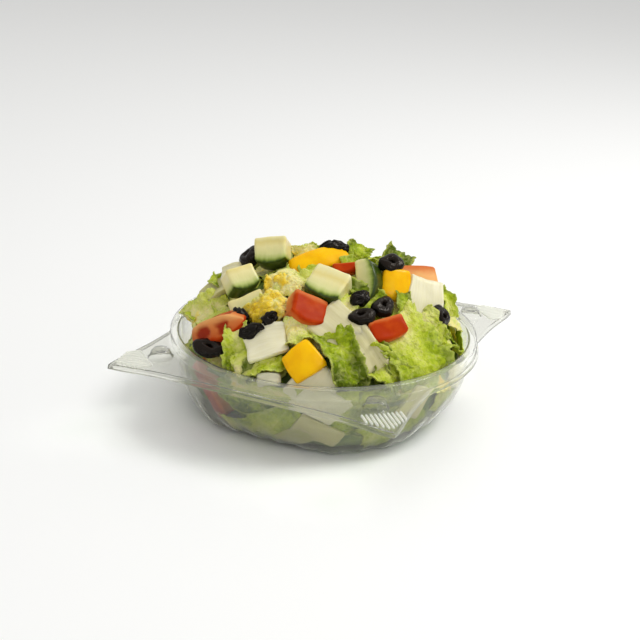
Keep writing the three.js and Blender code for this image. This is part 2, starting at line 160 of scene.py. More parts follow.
def wobble(points, size, depth, seed=0.0):
    """A smooth random shift for each point: waves of about size, up to about depth. The seed tells
    pieces apart. Blender also draws an offset for noise_vector from the clock each time it starts,
    so the shifts are a little different in every run."""
    shift = Vector((seed * 17.3, seed * 5.1, seed * 9.7))
    found = [noise.noise_vector(Vector(p) / size + shift) for p in points]
    return np.array(found) * depth


def tube_faces(rings, around):
    """Faces between rings of points that follow each other."""
    faces = []
    for i in range(rings - 1):
        for k in range(around):
            a, b = i * around + k, i * around + (k + 1) % around
            faces.append([a, b, b + around, a + around])
    return faces


print("a tube of 3 rings of 8 points has", len(tube_faces(3, 8)), "faces")

# %% [markdown]
# ## Camera
# The photograph looks down on the bowl by about 22 degrees with a medium telephoto lens, so the
# round ring shows as a flat ellipse. The salad faces the camera, and the bowl is turned 24.6
# degrees from that. The camera is also rolled a little, because the picture leans.

# %% Camera
SERVING_TURN = math.radians(24.6)
AIM_HEIGHT = 44.0  # the camera is aimed close to the height of the ring
LOOK_DOWN = math.radians(21.7)
ROLL = math.radians(2.2)
DISTANCE = 667.0
LENS = 67.35
PIXELS_PER_MM = 1.796  # in the photograph, at the ring
RING_OFF_CENTRE = Vector((3.9, -6.7)) / PIXELS_PER_MM  # the ring's middle from the picture's

serving = Matrix.Rotation(SERVING_TURN, 4, "Z")
forward = Vector((0, math.cos(LOOK_DOWN), -math.sin(LOOK_DOWN)))
level_right = Vector((1, 0, 0))
level_up = Vector((0, math.sin(LOOK_DOWN), math.cos(LOOK_DOWN)))
right = level_right * math.cos(ROLL) + level_up * math.sin(ROLL)
up = level_up * math.cos(ROLL) - level_right * math.sin(ROLL)
eye = Vector((0, 0, AIM_HEIGHT)) - forward * DISTANCE
eye -= right * RING_OFF_CENTRE.x + up * RING_OFF_CENTRE.y
pose = Matrix((right, up, -forward)).transposed().to_4x4()
pose.translation = eye * MM

camera_data = bpy.data.cameras.new("photo camera")
camera_data.lens = LENS
camera_data.sensor_width = 36
camera_data.clip_start = 0.01
camera = bpy.data.objects.new("photo camera", camera_data)
camera.matrix_world = serving @ pose
bpy.context.scene.collection.objects.link(camera)
bpy.context.scene.camera = camera
print("camera at", [round(c, 3) for c in camera.matrix_world.translation])

# %% [markdown]
# ## Floor and light
# The bowl was photographed in a white studio tent: light comes from all round, a little stronger
# from above and the right, and the shadows are faint. A white world does most of that. Of three
# lamps, the key models the shapes, a strip in front draws the fine bright lines on the ring, and a
# large soft one behind lights up the leaves and the edges of the plastic.

# %% Floor and light
scene = bpy.context.scene
scene.view_settings.view_transform = "Standard"

world = bpy.data.worlds.new("studio tent")
scene.world = world
world.use_nodes = True
background = world.node_tree.nodes["Background"]
background.inputs["Color"].default_value = (1.0, 1.0, 1.0, 1.0)
background.inputs["Strength"].default_value = 0.6

floor_mesh = bpy.data.meshes.new("floor")
FLOOR_REACH = 6.0  # metres each way
corners = [(FLOOR_REACH * x, FLOOR_REACH * y, 0) for x, y in ((-1, -1), (1, -1), (1, 1), (-1, 1))]
floor_mesh.from_pydata(corners, [], [(0, 1, 2, 3)])
floor = bpy.data.objects.new("floor", floor_mesh)
scene.collection.objects.link(floor)
# matt paper scatters all its light, so the floor shows no highlight, only the soft shadow
paper = new_material("matt white paper", Base_Color=linear("fafaf8"), Roughness=0.9)[0]
floor_mesh.materials.append(paper)
print("the floor reaches", FLOOR_REACH, "m each way")

# %% Lamps
# name, place in metres seen from the camera's side, size in metres, and watts
LAMPS = [
    ("key", (0.75, 0.12, 1.1), (0.4, 0.4), 8.0),
    ("strip", (0.36, -1.0, 1.06), (0.5, 0.2), 1.9),
    ("back", (-0.2, 1.0, 1.9), (1.2, 1.2), 3.0),
]
for name, stand, size, power in LAMPS:
    lamp_data = bpy.data.lights.new(name, "AREA")
    lamp_data.shape = "RECTANGLE"
    lamp_data.size, lamp_data.size_y = size
    lamp_data.energy = power
    lamp = bpy.data.objects.new(name, lamp_data)
    spot = serving @ Vector(stand)
    lamp.matrix_world = Matrix.Translation(spot) @ (-spot).to_track_quat("-Z", "Y").to_matrix().to_4x4()
    scene.collection.objects.link(lamp)
print("lamps:", len(LAMPS))

# %% [markdown]
# ## Places on the salad
# Every piece has a place in the frame of the photograph: its middle, the way its broad face
# looks, and a spin about that. Bearing -90 looks to the camera and lift 90 straight up.

# %% Places


def place(at, bearing, lift, spin):
    """The piece's own axes (columns) and middle, in millimetres, in the bowl's frame."""
    b, l = math.radians(bearing), math.radians(lift)
    out = Vector((math.cos(b) * math.cos(l), math.sin(b) * math.cos(l), math.sin(l)))
    level = Vector((-math.sin(b), math.cos(b), 0))
    axes = Matrix((level, out.cross(level), out)).transposed().to_4x4()
    axes = axes @ Matrix.Rotation(math.radians(spin), 4, "Z")
    axes.translation = Vector(at)
    return np.array(serving @ axes)


def put(points, axes):
    return np.asarray(points) @ axes[:3, :3].T + axes[:3, 3]


print("a piece at the front looks to", place((0, 0, 0), -90, 0, 0)[:3, 2].round(2))

# %% [markdown]
# ## Blocks with soft edges
# Cucumber, pepper, tomato and the thick white ribs are all cut with a knife: flat faces that meet
# in edges that are only a little rounded. A cube with a fine grid on each side is pulled to the
# piece's size and its edges are rounded by a distance, which keeps the grid even. Noise makes each
# one a little different. The unshifted place of each point is kept, because the shaders need to
# know how deep under the skin a point lies.

# %% Soft blocks


def arrays_from(bm):
    """The points and faces of a bmesh, which is then freed."""
    bm.verts.index_update()
    verts = np.array([v.co[:] for v in bm.verts])
    faces = [[v.index for v in face.verts] for face in bm.faces]
    bm.free()
    return verts, faces


def grid_cube(cuts):
    bm = bmesh.new()
    bmesh.ops.create_cube(bm, size=2)
    bmesh.ops.subdivide_edges(bm, edges=bm.edges[:], cuts=cuts, use_grid_fill=True)
    return arrays_from(bm)


def soft_block(wide, deep, thick, soft, cuts):
    """Points of a block with rounded edges, its faces, and its points before rounding."""
    unit, faces = grid_cube(cuts)
    half = np.array([wide, deep, thick]) / 2
    # a power below 1 moves the grid lines out towards the edges, where the rounding needs them
    flat = np.sign(unit) * np.abs(unit) ** 0.85 * half
    core = np.clip(flat, -(half - soft), half - soft)
    gap = flat - core
    length = np.linalg.norm(gap, axis=1, keepdims=True)
    return core + gap / np.maximum(length, 1e-9) * soft, faces, flat


def fruit_chunk(size, seed):
    """A chunk cut from a round fruit: the side at -y bulges, as its skin did."""
    wide, deep, thick, bulge = size
    points, faces, flat = soft_block(wide, deep, thick, 1.5, 15)
    across = flat[:, 0] / (wide / 2)
    toward_skin = np.clip(-flat[:, 1] / (deep / 2), 0, 1)
    points[:, 1] += bulge * across**2 * toward_skin
    points += wobble(points, 9.0, 0.5, seed) + wobble(points, 3.0, 0.12, seed)
    return points, faces, flat


print("a soft block has", len(grid_cube(15)[0]), "points")

# %% The table of toppings
# name, kind, middle, bearing, lift, spin, then width, depth, thickness and bulge in millimetres;
# a piece of the kind tomato shows its skin, flesh is tomato with its cut side out, a wedge has both
TOPPINGS = [
    ("cucumber_top", "cucumber", (-29.5, 3.5, 84.5), -107, 36, 13, (17.5, 16, 14, 2.5)),
    ("cucumber_middle", "cucumber", (1, -32, 78), -99, 58, -19, (20, 19, 14, 2.5)),
    ("cucumber_left", "cucumber", (-45.5, -14, 73.5), -68, 44, 11, (16, 14, 14, 2.5)),
    ("cucumber_slice", "cucumber", (24, -17, 78), -124, 31, 118, (23, 12, 13, 4.5)),
    ("cucumber_corner", "cucumber", (-40, -30, 65.5), -104, 40, 32, (19, 12, 9, 1.5)),
    ("cucumber_back", "cucumber", (42, 53, 55.5), 52, 44, 15, (21, 19, 14, 2.5)),
    ("pepper_front", "pepper", (-10, -71.6, 53.8), -96, 34, 41, (18, 17, 6, 1.6)),
    ("pepper_right", "pepper", (37.7, -16.3, 76), -72, 36, -12, (17, 17.5, 5, 2)),
    ("pepper_strip", "pepper", (-4.5, 1, 82), -82, 54, 18, (34, 13, 5, 2.5)),
    ("pepper_back", "pepper", (-26, 48, 67), 118, 46, 30, (24, 20, 6, 2)),
    ("tomato_middle", "tomato", (-10, -47.5, 70.5), -54, 45, -36, (19, 16.5, 12, 2.5)),
    ("tomato_left", "wedge", (-55, -39, 56.5), 23, -46, 136, (37, 20, 17, 0)),
    ("tomato_right", "tomato", (32, -49, 62.5), -70, 44, 12, (20, 12, 11, 2)),
    ("tomato_far_right", "flesh", (47.5, 3, 73.5), -70, 56, 176, (27, 13, 8, 1.5)),
    ("tomato_sliver", "tomato", (10.5, -9, 81), -80, 50, 4, (15, 6.5, 6, 1.5)),
    ("tomato_back", "wedge", (8, 64, 58), 86, 40, 20, (34, 19, 17, 0)),
    ("tomato_low", "tomato", (-57.3, -40.2, 23), -145, -14, -50, (32, 13, 8, 1.5)),
    ("olive_front", "olive", (19, -49, 70), -100, 74, 10, (14, 12, 6, 0)),
    ("olive_pair", "olive", (30, -39, 72), -50, 66, 30, (15, 12, 6, 0)),
    ("olive_piece", "end", (18, -38, 76), -80, 60, 35, (12, 8, 7, 0)),
    ("olive_right", "olive", (34.8, -9, 85.3), -70, 62, 0, (15, 12, 6, 0)),
    ("olive_crest", "end", (4, 10, 86.5), -84, 60, 6, (17, 9, 8, 0)),
    ("olive_back_left", "olive", (-42, 5, 81.5), -166, 50, 20, (13, 13, 7, 0)),
    ("olive_crinkled", "end", (-37, -57, 63.5), -104, 50, 32, (13, 8, 8, 0)),
    ("olive_crinkled_tip", "end", (-28, -54, 69), -100, 55, 46, (9, 6, 6, 0)),
    ("olive_left", "olive", (-58.5, -48.5, 49.4), -120, 62, 4, (20, 11, 6, 0)),
    ("olive_corner", "end", (-43, -43, 64.5), -110, 40, -38, (13, 7, 6, 0)),
    ("olive_far_right", "olive", (62.5, -20, 60.5), -30, 30, 60, (13, 11, 6, 0)),
    ("olive_behind", "olive", (52, 34, 60), 32, 46, 0, (14, 12, 6, 0)),
    ("olive_behind_left", "olive", (-46, 38, 62), 140, 48, 0, (14, 12, 6, 0)),
]


def make_toppings(title, material, slot, shapes):
    """Makes each topping whose kind has a shape here, at its place, under its title and name."""
    rows = [(i, row) for i, row in enumerate(TOPPINGS) if row[1] in shapes]
    for i, (name, kind, at, bearing, lift, spin, size) in rows:
        points, faces, attributes = shapes[kind](size, i + 1)
        points = put(points, place(at, bearing, lift, spin))
        dress(finished_object(title + name, points, faces, attributes), material, slot, name)
    print(slot, "pieces:", len(rows))


print("toppings:", len(TOPPINGS))

# %% [markdown]
# ## Cucumber
# Each chunk is a quarter of a thick slice. The dark green skin is on one bulging side and about a
# millimetre deep, then comes a bright green line, and then pale wet flesh with faint streaks that
# run in from the skin. The rind could be painted on, but here the colour follows the depth under
# the skin, kept as an attribute, so a colour ramp draws it on every side at its true depth.

# %% Wet cucumber


def cucumber_chunk(size, seed):
    points, faces, flat = fruit_chunk(size, seed)
    return points, faces, {"skin_depth": flat[:, 1] + size[1] / 2, "flesh": flat + 40.0 * seed}


# wet flesh lets light in, so it glows softly and has a broad gloss
cucumber, tree, shader = new_material(
    "wet cucumber",
    Roughness=0.32,
    Specular_IOR_Level=0.35,
    Subsurface_Weight=0.25,
    Subsurface_Radius=(1.0, 1.0, 0.5),
    Subsurface_Scale=0.002,
)
depth = add_node(tree, "ShaderNodeAttribute", attribute_name="skin_depth").outputs["Fac"]
flesh = add_node(tree, "ShaderNodeAttribute", attribute_name="flesh").outputs["Vector"]
# faint streaks two and a half to three millimetres wide and seven long, away from the skin
stretch = add_node(tree, VECTOR_MATH, "MULTIPLY", _0=flesh, _1=(0.4, 0.14, 0.3))
streaks = add_node(tree, "ShaderNodeTexNoise", Vector=stretch, Scale=1.0, Detail=3.0).outputs["Fac"]
uneven = add_node(tree, MATH, "MULTIPLY_ADD", _0=streaks, _1=2.4, _2=-1.2)
shifted = add_node(tree, MATH, "ADD", _0=depth, _1=uneven)
# the ramp runs over 16 millimetres of depth
scaled = add_node(tree, MATH, "DIVIDE", _0=shifted, _1=16.0)
ramp = add_node(tree, "ShaderNodeValToRGB", Fac=scaled)
set_stops(ramp, [(0.0, "34460a"), (0.06, "4c6014"), (0.12, "88993a"), (0.20, "b9c270"),
                 (0.34, "d9d795"), (0.62, "e9dfa0"), (0.80, "e3d488"), (1.0, "ebe2a8")])
tree.links.new(ramp.outputs["Color"], shader.inputs["Base Color"])
bump = add_node(tree, "ShaderNodeBump", Height=streaks, Strength=0.25, Distance=0.0006)
tree.links.new(bump.outputs["Normal"], shader.inputs["Normal"])

make_toppings("sliced_", cucumber, "cucumber", {"cucumber": cucumber_chunk})

# %% [markdown]
# ## Yellow pepper
# Squares and a strip of the wall of a ripe pepper: an even slab, bowed outwards, with glossy waxy
# skin on the outside, and a duller and paler cut edge. It could be cut from a whole modelled
# pepper, but the same soft block, bent over a dome, gives the same and takes the sizes directly.
# The distance above its middle tells skin from flesh.

# %% Ripe pepper


def pepper_slab(size, seed):
    wide, deep, thick, bow = size
    points, faces, flat = soft_block(wide, deep, thick, 1.1, 15)
    u, v = flat[:, 0] / (wide / 2), flat[:, 1] / (deep / 2)
    points[:, 0] *= np.sqrt(1 - 0.1 * v**2) * (1 - 0.07 * v)
    points[:, 1] *= np.sqrt(1 - 0.1 * u**2) * (1 + 0.05 * u)
    points[:, 2] += bow * (0.5 - 0.8 * u**2 - 0.3 * v**2)
    points += wobble(points, 8.0, 0.5, seed) + wobble(points, 3.0, 0.1, seed)
    return points, faces, {"skin_side": flat[:, 2] / (thick / 2), "flesh": flat + 40.0 * seed}


# the waxy skin is smooth, so its highlights are small and clear
pepper, tree, shader = new_material(
    "waxy yellow pepper skin",
    Roughness=0.26,
    Specular_IOR_Level=0.14,
    Subsurface_Weight=0.15,
    Subsurface_Radius=(1.0, 0.5, 0.1),
    Subsurface_Scale=0.0015,
)
side = add_node(tree, "ShaderNodeAttribute", attribute_name="skin_side").outputs["Fac"]
flesh = add_node(tree, "ShaderNodeAttribute", attribute_name="flesh").outputs["Vector"]
# ripeness varies in blotches of about seven millimetres
blotch = add_node(tree, "ShaderNodeTexNoise", Vector=flesh, Scale=0.14, Detail=3.0).outputs["Fac"]
skin = add_node(tree, "ShaderNodeValToRGB", Fac=blotch)
set_stops(skin, [(0.3, "f2b000"), (0.7, "ffc600")])
outer = add_node(tree, "ShaderNodeMapRange", Value=side, From_Min=-0.4, From_Max=0.7)
colour = add_node(
    tree, "ShaderNodeMix", data_type="RGBA", _0=outer, _6=linear("f0b440"), _7=skin.outputs["Color"]
)
tree.links.new(colour.outputs[2], shader.inputs["Base Color"])

make_toppings("cut_", pepper, "pepper", {"pepper": pepper_slab})

# %% [markdown]
# ## Tomato
# There are diced pieces, with skin on one side and wet flesh on the others, and wedges, whose
# round back is skin and whose two cut faces meet at the core, with seeds in hollows half way down.
# Skin is a clear deep red, and cut flesh is paler, more orange, and mottled. Dice are soft blocks
# again. A wedge is rings of points, so that its skin and its cut faces each get their own points.

# %% Diced tomato


def tomato_dice(size, seed, flesh_outside=False):
    points, faces, flat = fruit_chunk(size, seed)
    if flesh_outside:
        depth = 4.0 + flat[:, 1] + size[1] / 2
    else:
        # skin in front, and a rim of flesh along the edge where the knife went through at a slant
        slant = np.clip(flat[:, 1] - 0.26 * size[1], 0, None)
        depth = size[2] / 2 - flat[:, 2] + 1.6 * slant
    pocket = np.zeros(len(points))
    return points, faces, {"skin_depth": depth, "flesh": flat + 40.0 * seed, "pocket": pocket}


def tomato_turned(size, seed):
    return tomato_dice(size, seed, flesh_outside=True)


print("diced tomato:", len(tomato_dice((20, 12, 11, 2), 1)[0]), "points")

# %% Tomato wedge
SEED_POCKETS = ((-5.5, 6.0), (8.5, 4.4))  # middle and half length, along a wedge
SKIN_SHARE = 0.62  # how much of the points round a wedge lie on its skin
SKIN_START, SKIN_END = -12, 192  # degrees round the back of the wedge


def tomato_wedge(size, seed):
    wide, deep, thick, _ = size
    rings, around, back = 60, 48, 0.9 * thick / 2
    points, depth, pocket = [], [], []
    for i in range(rings + 1):
        t = -math.cos(math.pi * (i + 0.5) / (rings + 1))
        girth = math.sqrt(1 - t * t)
        for k in range(around):
            share = k / around
            if share < SKIN_SHARE:
                a = math.radians(SKIN_START + (SKIN_END - SKIN_START) * share / SKIN_SHARE)
                y, z = math.cos(a) * deep / 2, math.sin(a) * back
                under, wet = 0.0, 0.0
            else:
                # the two cut faces run from the edges of the skin down to the core line
                down = (share - SKIN_SHARE) / (1 - SKIN_SHARE)
                edge = math.radians(SKIN_END if down < 0.5 else SKIN_START)
                mix = 1 - abs(2 * down - 1)
                y = (1 - mix) * math.cos(edge) * deep / 2
                z = (1 - mix) * math.sin(edge) * back - mix * thick / 2
                under = 0.6 + 11 * mix
                # the seeds sit in hollows half way down, with firm walls between them
                bent = t * wide / 2 + 3.5 * noise.noise(Vector((t * 3, mix * 3, seed)))
                away = [((bent - at) / half) ** 2 for at, half in SEED_POCKETS]
                wet = max(0.0, 1 - min(away)) * max(0.0, 1 - ((mix - 0.45) / 0.36) ** 2)
                wet = min(1.0, 1.7 * wet)
                y -= math.copysign(0.6 * wet, math.cos(edge))
                z += 0.8 * wet
            points.append((t * wide / 2, y * girth, z * girth))
            depth.append(under)
            pocket.append(wet)
    faces = tube_faces(rings + 1, around)
    for ring in (0, rings):
        points.append(tuple(np.mean(points[ring * around : (ring + 1) * around], axis=0)))
        depth.append(1.0)
        pocket.append(0.0)
        for k in range(around):
            a, b = ring * around + k, ring * around + (k + 1) % around
            faces.append([len(points) - 1, b, a] if ring == 0 else [len(points) - 1, a, b])
    points = np.array(points)
    flat = points.copy()
    points += wobble(points, 10.0, 0.8, seed) + wobble(points, 3.5, 0.2, seed)
    attributes = {"skin_depth": np.array(depth), "flesh": flat + 40.0 * seed, "pocket": np.array(pocket)}
    return points, faces, attributes


print("tomato wedge:", len(tomato_wedge((37, 20, 17, 0), 1)[0]), "points")

# %% Ripe tomato
# thin smooth skin over wet flesh: a deep clear colour, with a soft gloss
tomato, tree, shader = new_material(
    "ripe tomato",
    Roughness=0.34,
    Specular_IOR_Level=0.04,
    Subsurface_Weight=0.12,
    Subsurface_Radius=(1.0, 0.3, 0.15),
    Subsurface_Scale=0.002,
)
depth = add_node(tree, "ShaderNodeAttribute", attribute_name="skin_depth").outputs["Fac"]
flesh = add_node(tree, "ShaderNodeAttribute", attribute_name="flesh").outputs["Vector"]
# mottled in patches of about eight millimetres
mottle = add_node(tree, "ShaderNodeTexNoise", Vector=flesh, Scale=0.13, Detail=4.0).outputs["Fac"]
uneven = add_node(tree, MATH, "MULTIPLY_ADD", _0=mottle, _1=5.0, _2=-2.3)
shifted = add_node(tree, MATH, "ADD", _0=depth, _1=uneven)
# the ramp runs over 12 millimetres, from the skin to the core
scaled = add_node(tree, MATH, "DIVIDE", _0=shifted, _1=12.0)
ramp = add_node(tree, "ShaderNodeValToRGB", Fac=scaled)
set_stops(ramp, [(0.0, "b0340a"), (0.1, "be440e"), (0.24, "cc6630"), (0.6, "d67c42"), (1.0, "eeb06c")])
# the hollows with the seeds are darker and redder
pocket = add_node(tree, "ShaderNodeAttribute", attribute_name="pocket").outputs["Fac"]
colour = add_node(
    tree, "ShaderNodeMix", data_type="RGBA", _0=pocket, _6=ramp.outputs["Color"], _7=linear("a03014")
)
tree.links.new(colour.outputs[2], shader.inputs["Base Color"])

kinds = {"tomato": tomato_dice, "flesh": tomato_turned, "wedge": tomato_wedge}
make_toppings("cut_", tomato, "tomato", kinds)

# %% [markdown]
# ## Black olives
# Pitted olives cut across make rings with a hole, and their ends and broken bits are small
# wrinkled lumps. A ring could be a torus, but a slice has flatter faces and a crooked hole, so it
# is a rounded profile carried round the hole, and a lump is a ball pushed in and out by noise. The
# skin is almost black with an oily sheen, so most of what shows of an olive is its highlights.

# %% Olive slices and ends


def olive_ring(size, seed):
    wide, deep, thick, _ = size
    around, profile = 64, 24
    outer = wide / 2
    points, depth = [], []
    for i in range(around):
        a = 2 * math.pi * i / around
        # the slice is a little squeezed, and its hole nearly closed to a crooked slit
        hole = 1.1 + 0.45 * math.cos(2 * a + seed) + 0.25 * math.cos(3 * a + 2 * seed)
        rim = outer * (1 + 0.05 * math.cos(2 * a + 1.7 * seed) + 0.03 * math.cos(3 * a - seed))
        for k in range(profile):
            b = 2 * math.pi * k / profile
            # a rounded rectangle between the hole and the skin, thinner towards the skin
            c, s = math.cos(b), math.sin(b)
            square = (abs(c) ** 2.7 + abs(s) ** 2.7) ** (-1 / 2.7)
            r = (rim + hole) / 2 + (rim - hole) / 2 * c * square
            z = thick / 2 * s * square * (1.08 - 0.3 * (r / rim) ** 2)
            # and warped like a saddle
            z += 0.6 * (r / rim) ** 2 * math.cos(2 * a + seed)
            points.append((r * math.cos(a), r * math.sin(a) * deep / wide, z))
            depth.append(rim - r)
    faces = []
    for i in range(around):
        for k in range(profile):
            j, m = (i + 1) % around, (k + 1) % profile
            faces.append([i * profile + k, j * profile + k, j * profile + m, i * profile + m])
    points = np.array(points)
    points += wobble(points, 5.0, 0.8, seed) + wobble(points, 2.2, 0.2, seed)
    return points, faces, {"skin_depth": np.array(depth)}


def olive_bit(size, seed):
    bm = bmesh.new()
    bmesh.ops.create_icosphere(bm, subdivisions=5, radius=0.5)
    ball, faces = arrays_from(bm)
    outward = ball * 2
    ball *= np.array(size[:3])
    # a few soft folds that run along the piece
    shift = Vector((seed * 3.1, seed, -seed))
    folds = np.array([abs(noise.noise(Vector((p[0] / 7, p[1] / 3, p[2] / 3)) + shift)) for p in ball])
    points = ball + outward * (np.clip(folds, 0, 0.3)[:, None] * 4.0 - 0.7)
    points += wobble(ball, 5.0, 1.1, seed) + wobble(ball, 2.0, 0.2, seed)
    return points, faces, {"skin_depth": np.clip(0.6 - 3 * folds, 0, 1)}


print("olive slice:", len(olive_ring((14, 12, 6, 0), 1)[0]), "points")

# %% Oily black olive
# the oil makes small sharp highlights, a little warm, which are most of what shows
olive, tree, shader = new_material(
    "oily black olive skin", Roughness=0.24, Specular_IOR_Level=0.18, Specular_Tint=(1.0, 0.9, 0.78, 1.0)
)
depth = add_node(tree, "ShaderNodeAttribute", attribute_name="skin_depth").outputs["Fac"]
scaled = add_node(tree, "ShaderNodeMapRange", Value=depth, From_Min=0.3, From_Max=1.5)
colour = add_node(
    tree, "ShaderNodeMix", data_type="RGBA", _0=scaled, _6=linear("0c0907"), _7=linear("1a130e")
)
tree.links.new(colour.outputs[2], shader.inputs["Base Color"])
in_object = add_node(tree, "ShaderNodeTexCoord").outputs["Object"]
# pores and small wrinkles one and a half millimetres apart, coarser than real ones, so that they show
pores = add_node(tree, "ShaderNodeTexNoise", Vector=in_object, Scale=700.0, Detail=3.0)
bump = add_node(tree, "ShaderNodeBump", Height=pores.outputs["Fac"], Strength=0.5, Distance=0.0005)
tree.links.new(bump.outputs["Normal"], shader.inputs["Normal"])

make_toppings("black_", olive, "olive", {"olive": olive_ring, "end": olive_bit})

# %% [markdown]
# ## The clear bowl
# The bowl is one sheet of clear plastic, formed over a mould: a flat eight-sided base with soft
# corners, a wall that turns round as it rises, a raised ring, and a flat edge with a turned-down
# lip and four corner tabs. It could be modelled by hand from a cage, but every part of it follows
# a rule: one line gives the sheet's middle at each angle, and the whole bowl is that line carried
# round, then given its thickness to both sides. Small curves replace the sharp corners of the
# line, because formed plastic has none and they catch the light.

# %% The outlines of the bowl
# sizes in millimetres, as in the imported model
RIM_RADIUS, RIM_HEIGHT, RIM_WIDTH, SHEET = 85.0, 45.0, 4.8, 0.8
BASE_SIDE, BASE_CORNER = 59.6, 66.4
FLUTES, FLUTE_DEPTH = 30, 0.7
FLANGE_DROP, FLANGE_HALF_X, FLANGE_HALF_Y, FLANGE_LIP, TAB_FLARE = 6.2, 77.0, 88.4, 2.6, 4.6
BUTTON_ALONG, BUTTON_WIDE, BUTTON_TALL = 94.0, 6.4, 4.4
TAB_ANGLE = math.atan2(FLANGE_HALF_Y, FLANGE_HALF_X)


def base_radius(angle):
    total = 0.0
    for side in range(8):
        reach = np.cos(angle - side * math.pi / 4) / (BASE_CORNER if side % 2 else BASE_SIDE)
        total = total + np.maximum(reach, 0) ** 32
    return total ** (-1 / 32)


def wall_radius(angle, height):
    """The middle of the wall at an angle and a height, for numbers or for arrays."""
    rise = np.clip(height / (RIM_HEIGHT - 4), 0, 1)
    blend = 1 - (1 - rise) ** 3.4
    ring = RIM_RADIUS - RIM_WIDTH + SHEET / 2
    fluted = FLUTE_DEPTH * np.cos(FLUTES * angle) * np.maximum(0.0, 1 - rise * 1.5)
    return base_radius(angle) * (1 - blend) + ring * blend + fluted


def folded(angle):
    return math.atan2(abs(math.sin(angle)), abs(math.cos(angle)))


def flange_radius(angle):
    across_x = FLANGE_HALF_X / max(1e-6, abs(math.cos(angle)))
    across_y = FLANGE_HALF_Y / max(1e-6, abs(math.sin(angle)))
    flare = TAB_FLARE * math.exp(-(((folded(angle) - TAB_ANGLE) / math.radians(7)) ** 2))
    return max(RIM_RADIUS + 0.6, min(across_x, across_y)) + flare


print("wall at the ring's foot:", round(float(wall_radius(0.0, 40.0)), 1), "mm from the middle")

# %% The line of the sheet


def rounded(line, corners):
    """Replaces each named corner of a line by a small curve that reaches out by its distance."""
    made = []
    for i, point in enumerate(line):
        if i not in corners:
            made.append(point)
            continue
        before, after = line[i - 1] - point, line[i + 1] - point
        start = point + before * min(0.45, corners[i] / before.length)
        end = point + after * min(0.45, corners[i] / after.length)
        for k in range(6):
            t = k / 5
            made.append(start * (1 - t) ** 2 + point * 2 * t * (1 - t) + end * t**2)
    return made


def sheet_line(angle):
    """The sheet's middle from the middle of the base to the end of the lip, as radius and height."""
    low, top, flange = SHEET / 2, RIM_HEIGHT - SHEET / 2, RIM_HEIGHT - FLANGE_DROP
    inside, outside = RIM_RADIUS - RIM_WIDTH + SHEET / 2, RIM_RADIUS - SHEET / 2
    edge = flange_radius(angle)
    foot = wall_radius(angle, low) - 0.4
    line = [Vector((foot * share, low)) for share in (0.02, 0.35, 0.7, 0.88)]
    line.append(Vector((foot, low)))
    line += [Vector((wall_radius(angle, z), z)) for z in (3.5, 6.5, 10, 14, 18, 22, 26, 30, 34, 37.5, 40.5)]
    ring = len(line)
    line += [Vector((inside, top)), Vector((outside, top)), Vector((outside, flange))]
    shape = rounded(
        line + [Vector((edge, flange)), Vector((edge + 0.5, flange - FLANGE_LIP))],
        {4: 2.0, ring: 1.5, ring + 1: 1.5, ring + 2: 0.7, ring + 3: 0.9},
    )
    # the flat edge between the ring and the lip is cut into short steps for the raised button
    flat_start = next(i for i, p in enumerate(shape) if p.x > outside and abs(p.y - flange) < 1e-6)
    start, end = shape[flat_start], shape[flat_start + 1]
    steps = [start.lerp(end, share / 27) for share in range(1, 27)]
    return shape[: flat_start + 1] + steps + shape[flat_start + 1 :]


def button_height(angle, radius):
    """How far the corner button lifts the sheet at a point of the flat edge."""
    along = radius * math.cos(folded(angle) - TAB_ANGLE)
    aside = radius * math.sin(folded(angle) - TAB_ANGLE)
    away = math.hypot(along - BUTTON_ALONG, aside) / BUTTON_WIDE
    if radius < RIM_RADIUS or away > 1:
        return 0.0
    rise = min(1.0, (1 - away) / 0.3)
    return BUTTON_TALL * (3 * rise**2 - 2 * rise**3)


print("the line has", len(sheet_line(0.0)), "points")

# %% The bowl


def bowl_angles():
    """Angles all round, closer together across each corner tab."""
    angles, tab = [], math.radians(8)
    for quarter in range(4):
        start, end = quarter * math.pi / 2, (quarter + 1) * math.pi / 2
        mid = start + (TAB_ANGLE if quarter % 2 == 0 else math.pi / 2 - TAB_ANGLE)
        for low, high, count in ((start, mid - tab, 38), (mid - tab, mid + tab, 44), (mid + tab, end, 38)):
            angles += list(np.linspace(low, high, count, endpoint=False))
    return angles


def bowl_mesh():
    angles = bowl_angles()
    over, under = [], []
    for angle in angles:
        line = sheet_line(angle)
        for side, store in ((0.5, over), (-0.5, under)):
            for i, p in enumerate(line):
                way = line[min(i + 1, len(line) - 1)] - line[max(i - 1, 0)]
                way.normalize()
                q = p + Vector((-way.y, way.x)) * SHEET * side
                lift = button_height(angle, p.x)
                store.append((q.x * math.cos(angle), q.x * math.sin(angle), q.y + lift))
    rounds = len(angles)
    rows = len(over) // rounds
    points = over + under
    faces = []
    for i in range(rounds):
        j = (i + 1) % rounds
        for k in range(rows - 1):
            a, b, c, d = i * rows + k, i * rows + k + 1, j * rows + k + 1, j * rows + k
            faces.append([a, b, c, d])
            faces.append([rounds * rows + v for v in (a, d, c, b)])
        a, b = i * rows + rows - 1, j * rows + rows - 1
        faces.append([a, rounds * rows + a, rounds * rows + b, b])
    for half, z in ((0, SHEET), (1, 0.0)):
        points.append((0.0, 0.0, z))
        for i in range(rounds):
            a, b = half * rounds * rows + i * rows, half * rounds * rows + ((i + 1) % rounds) * rows
            faces.append([len(points) - 1, a, b] if half == 0 else [len(points) - 1, b, a])
    return np.array(points), faces


points, faces = bowl_mesh()
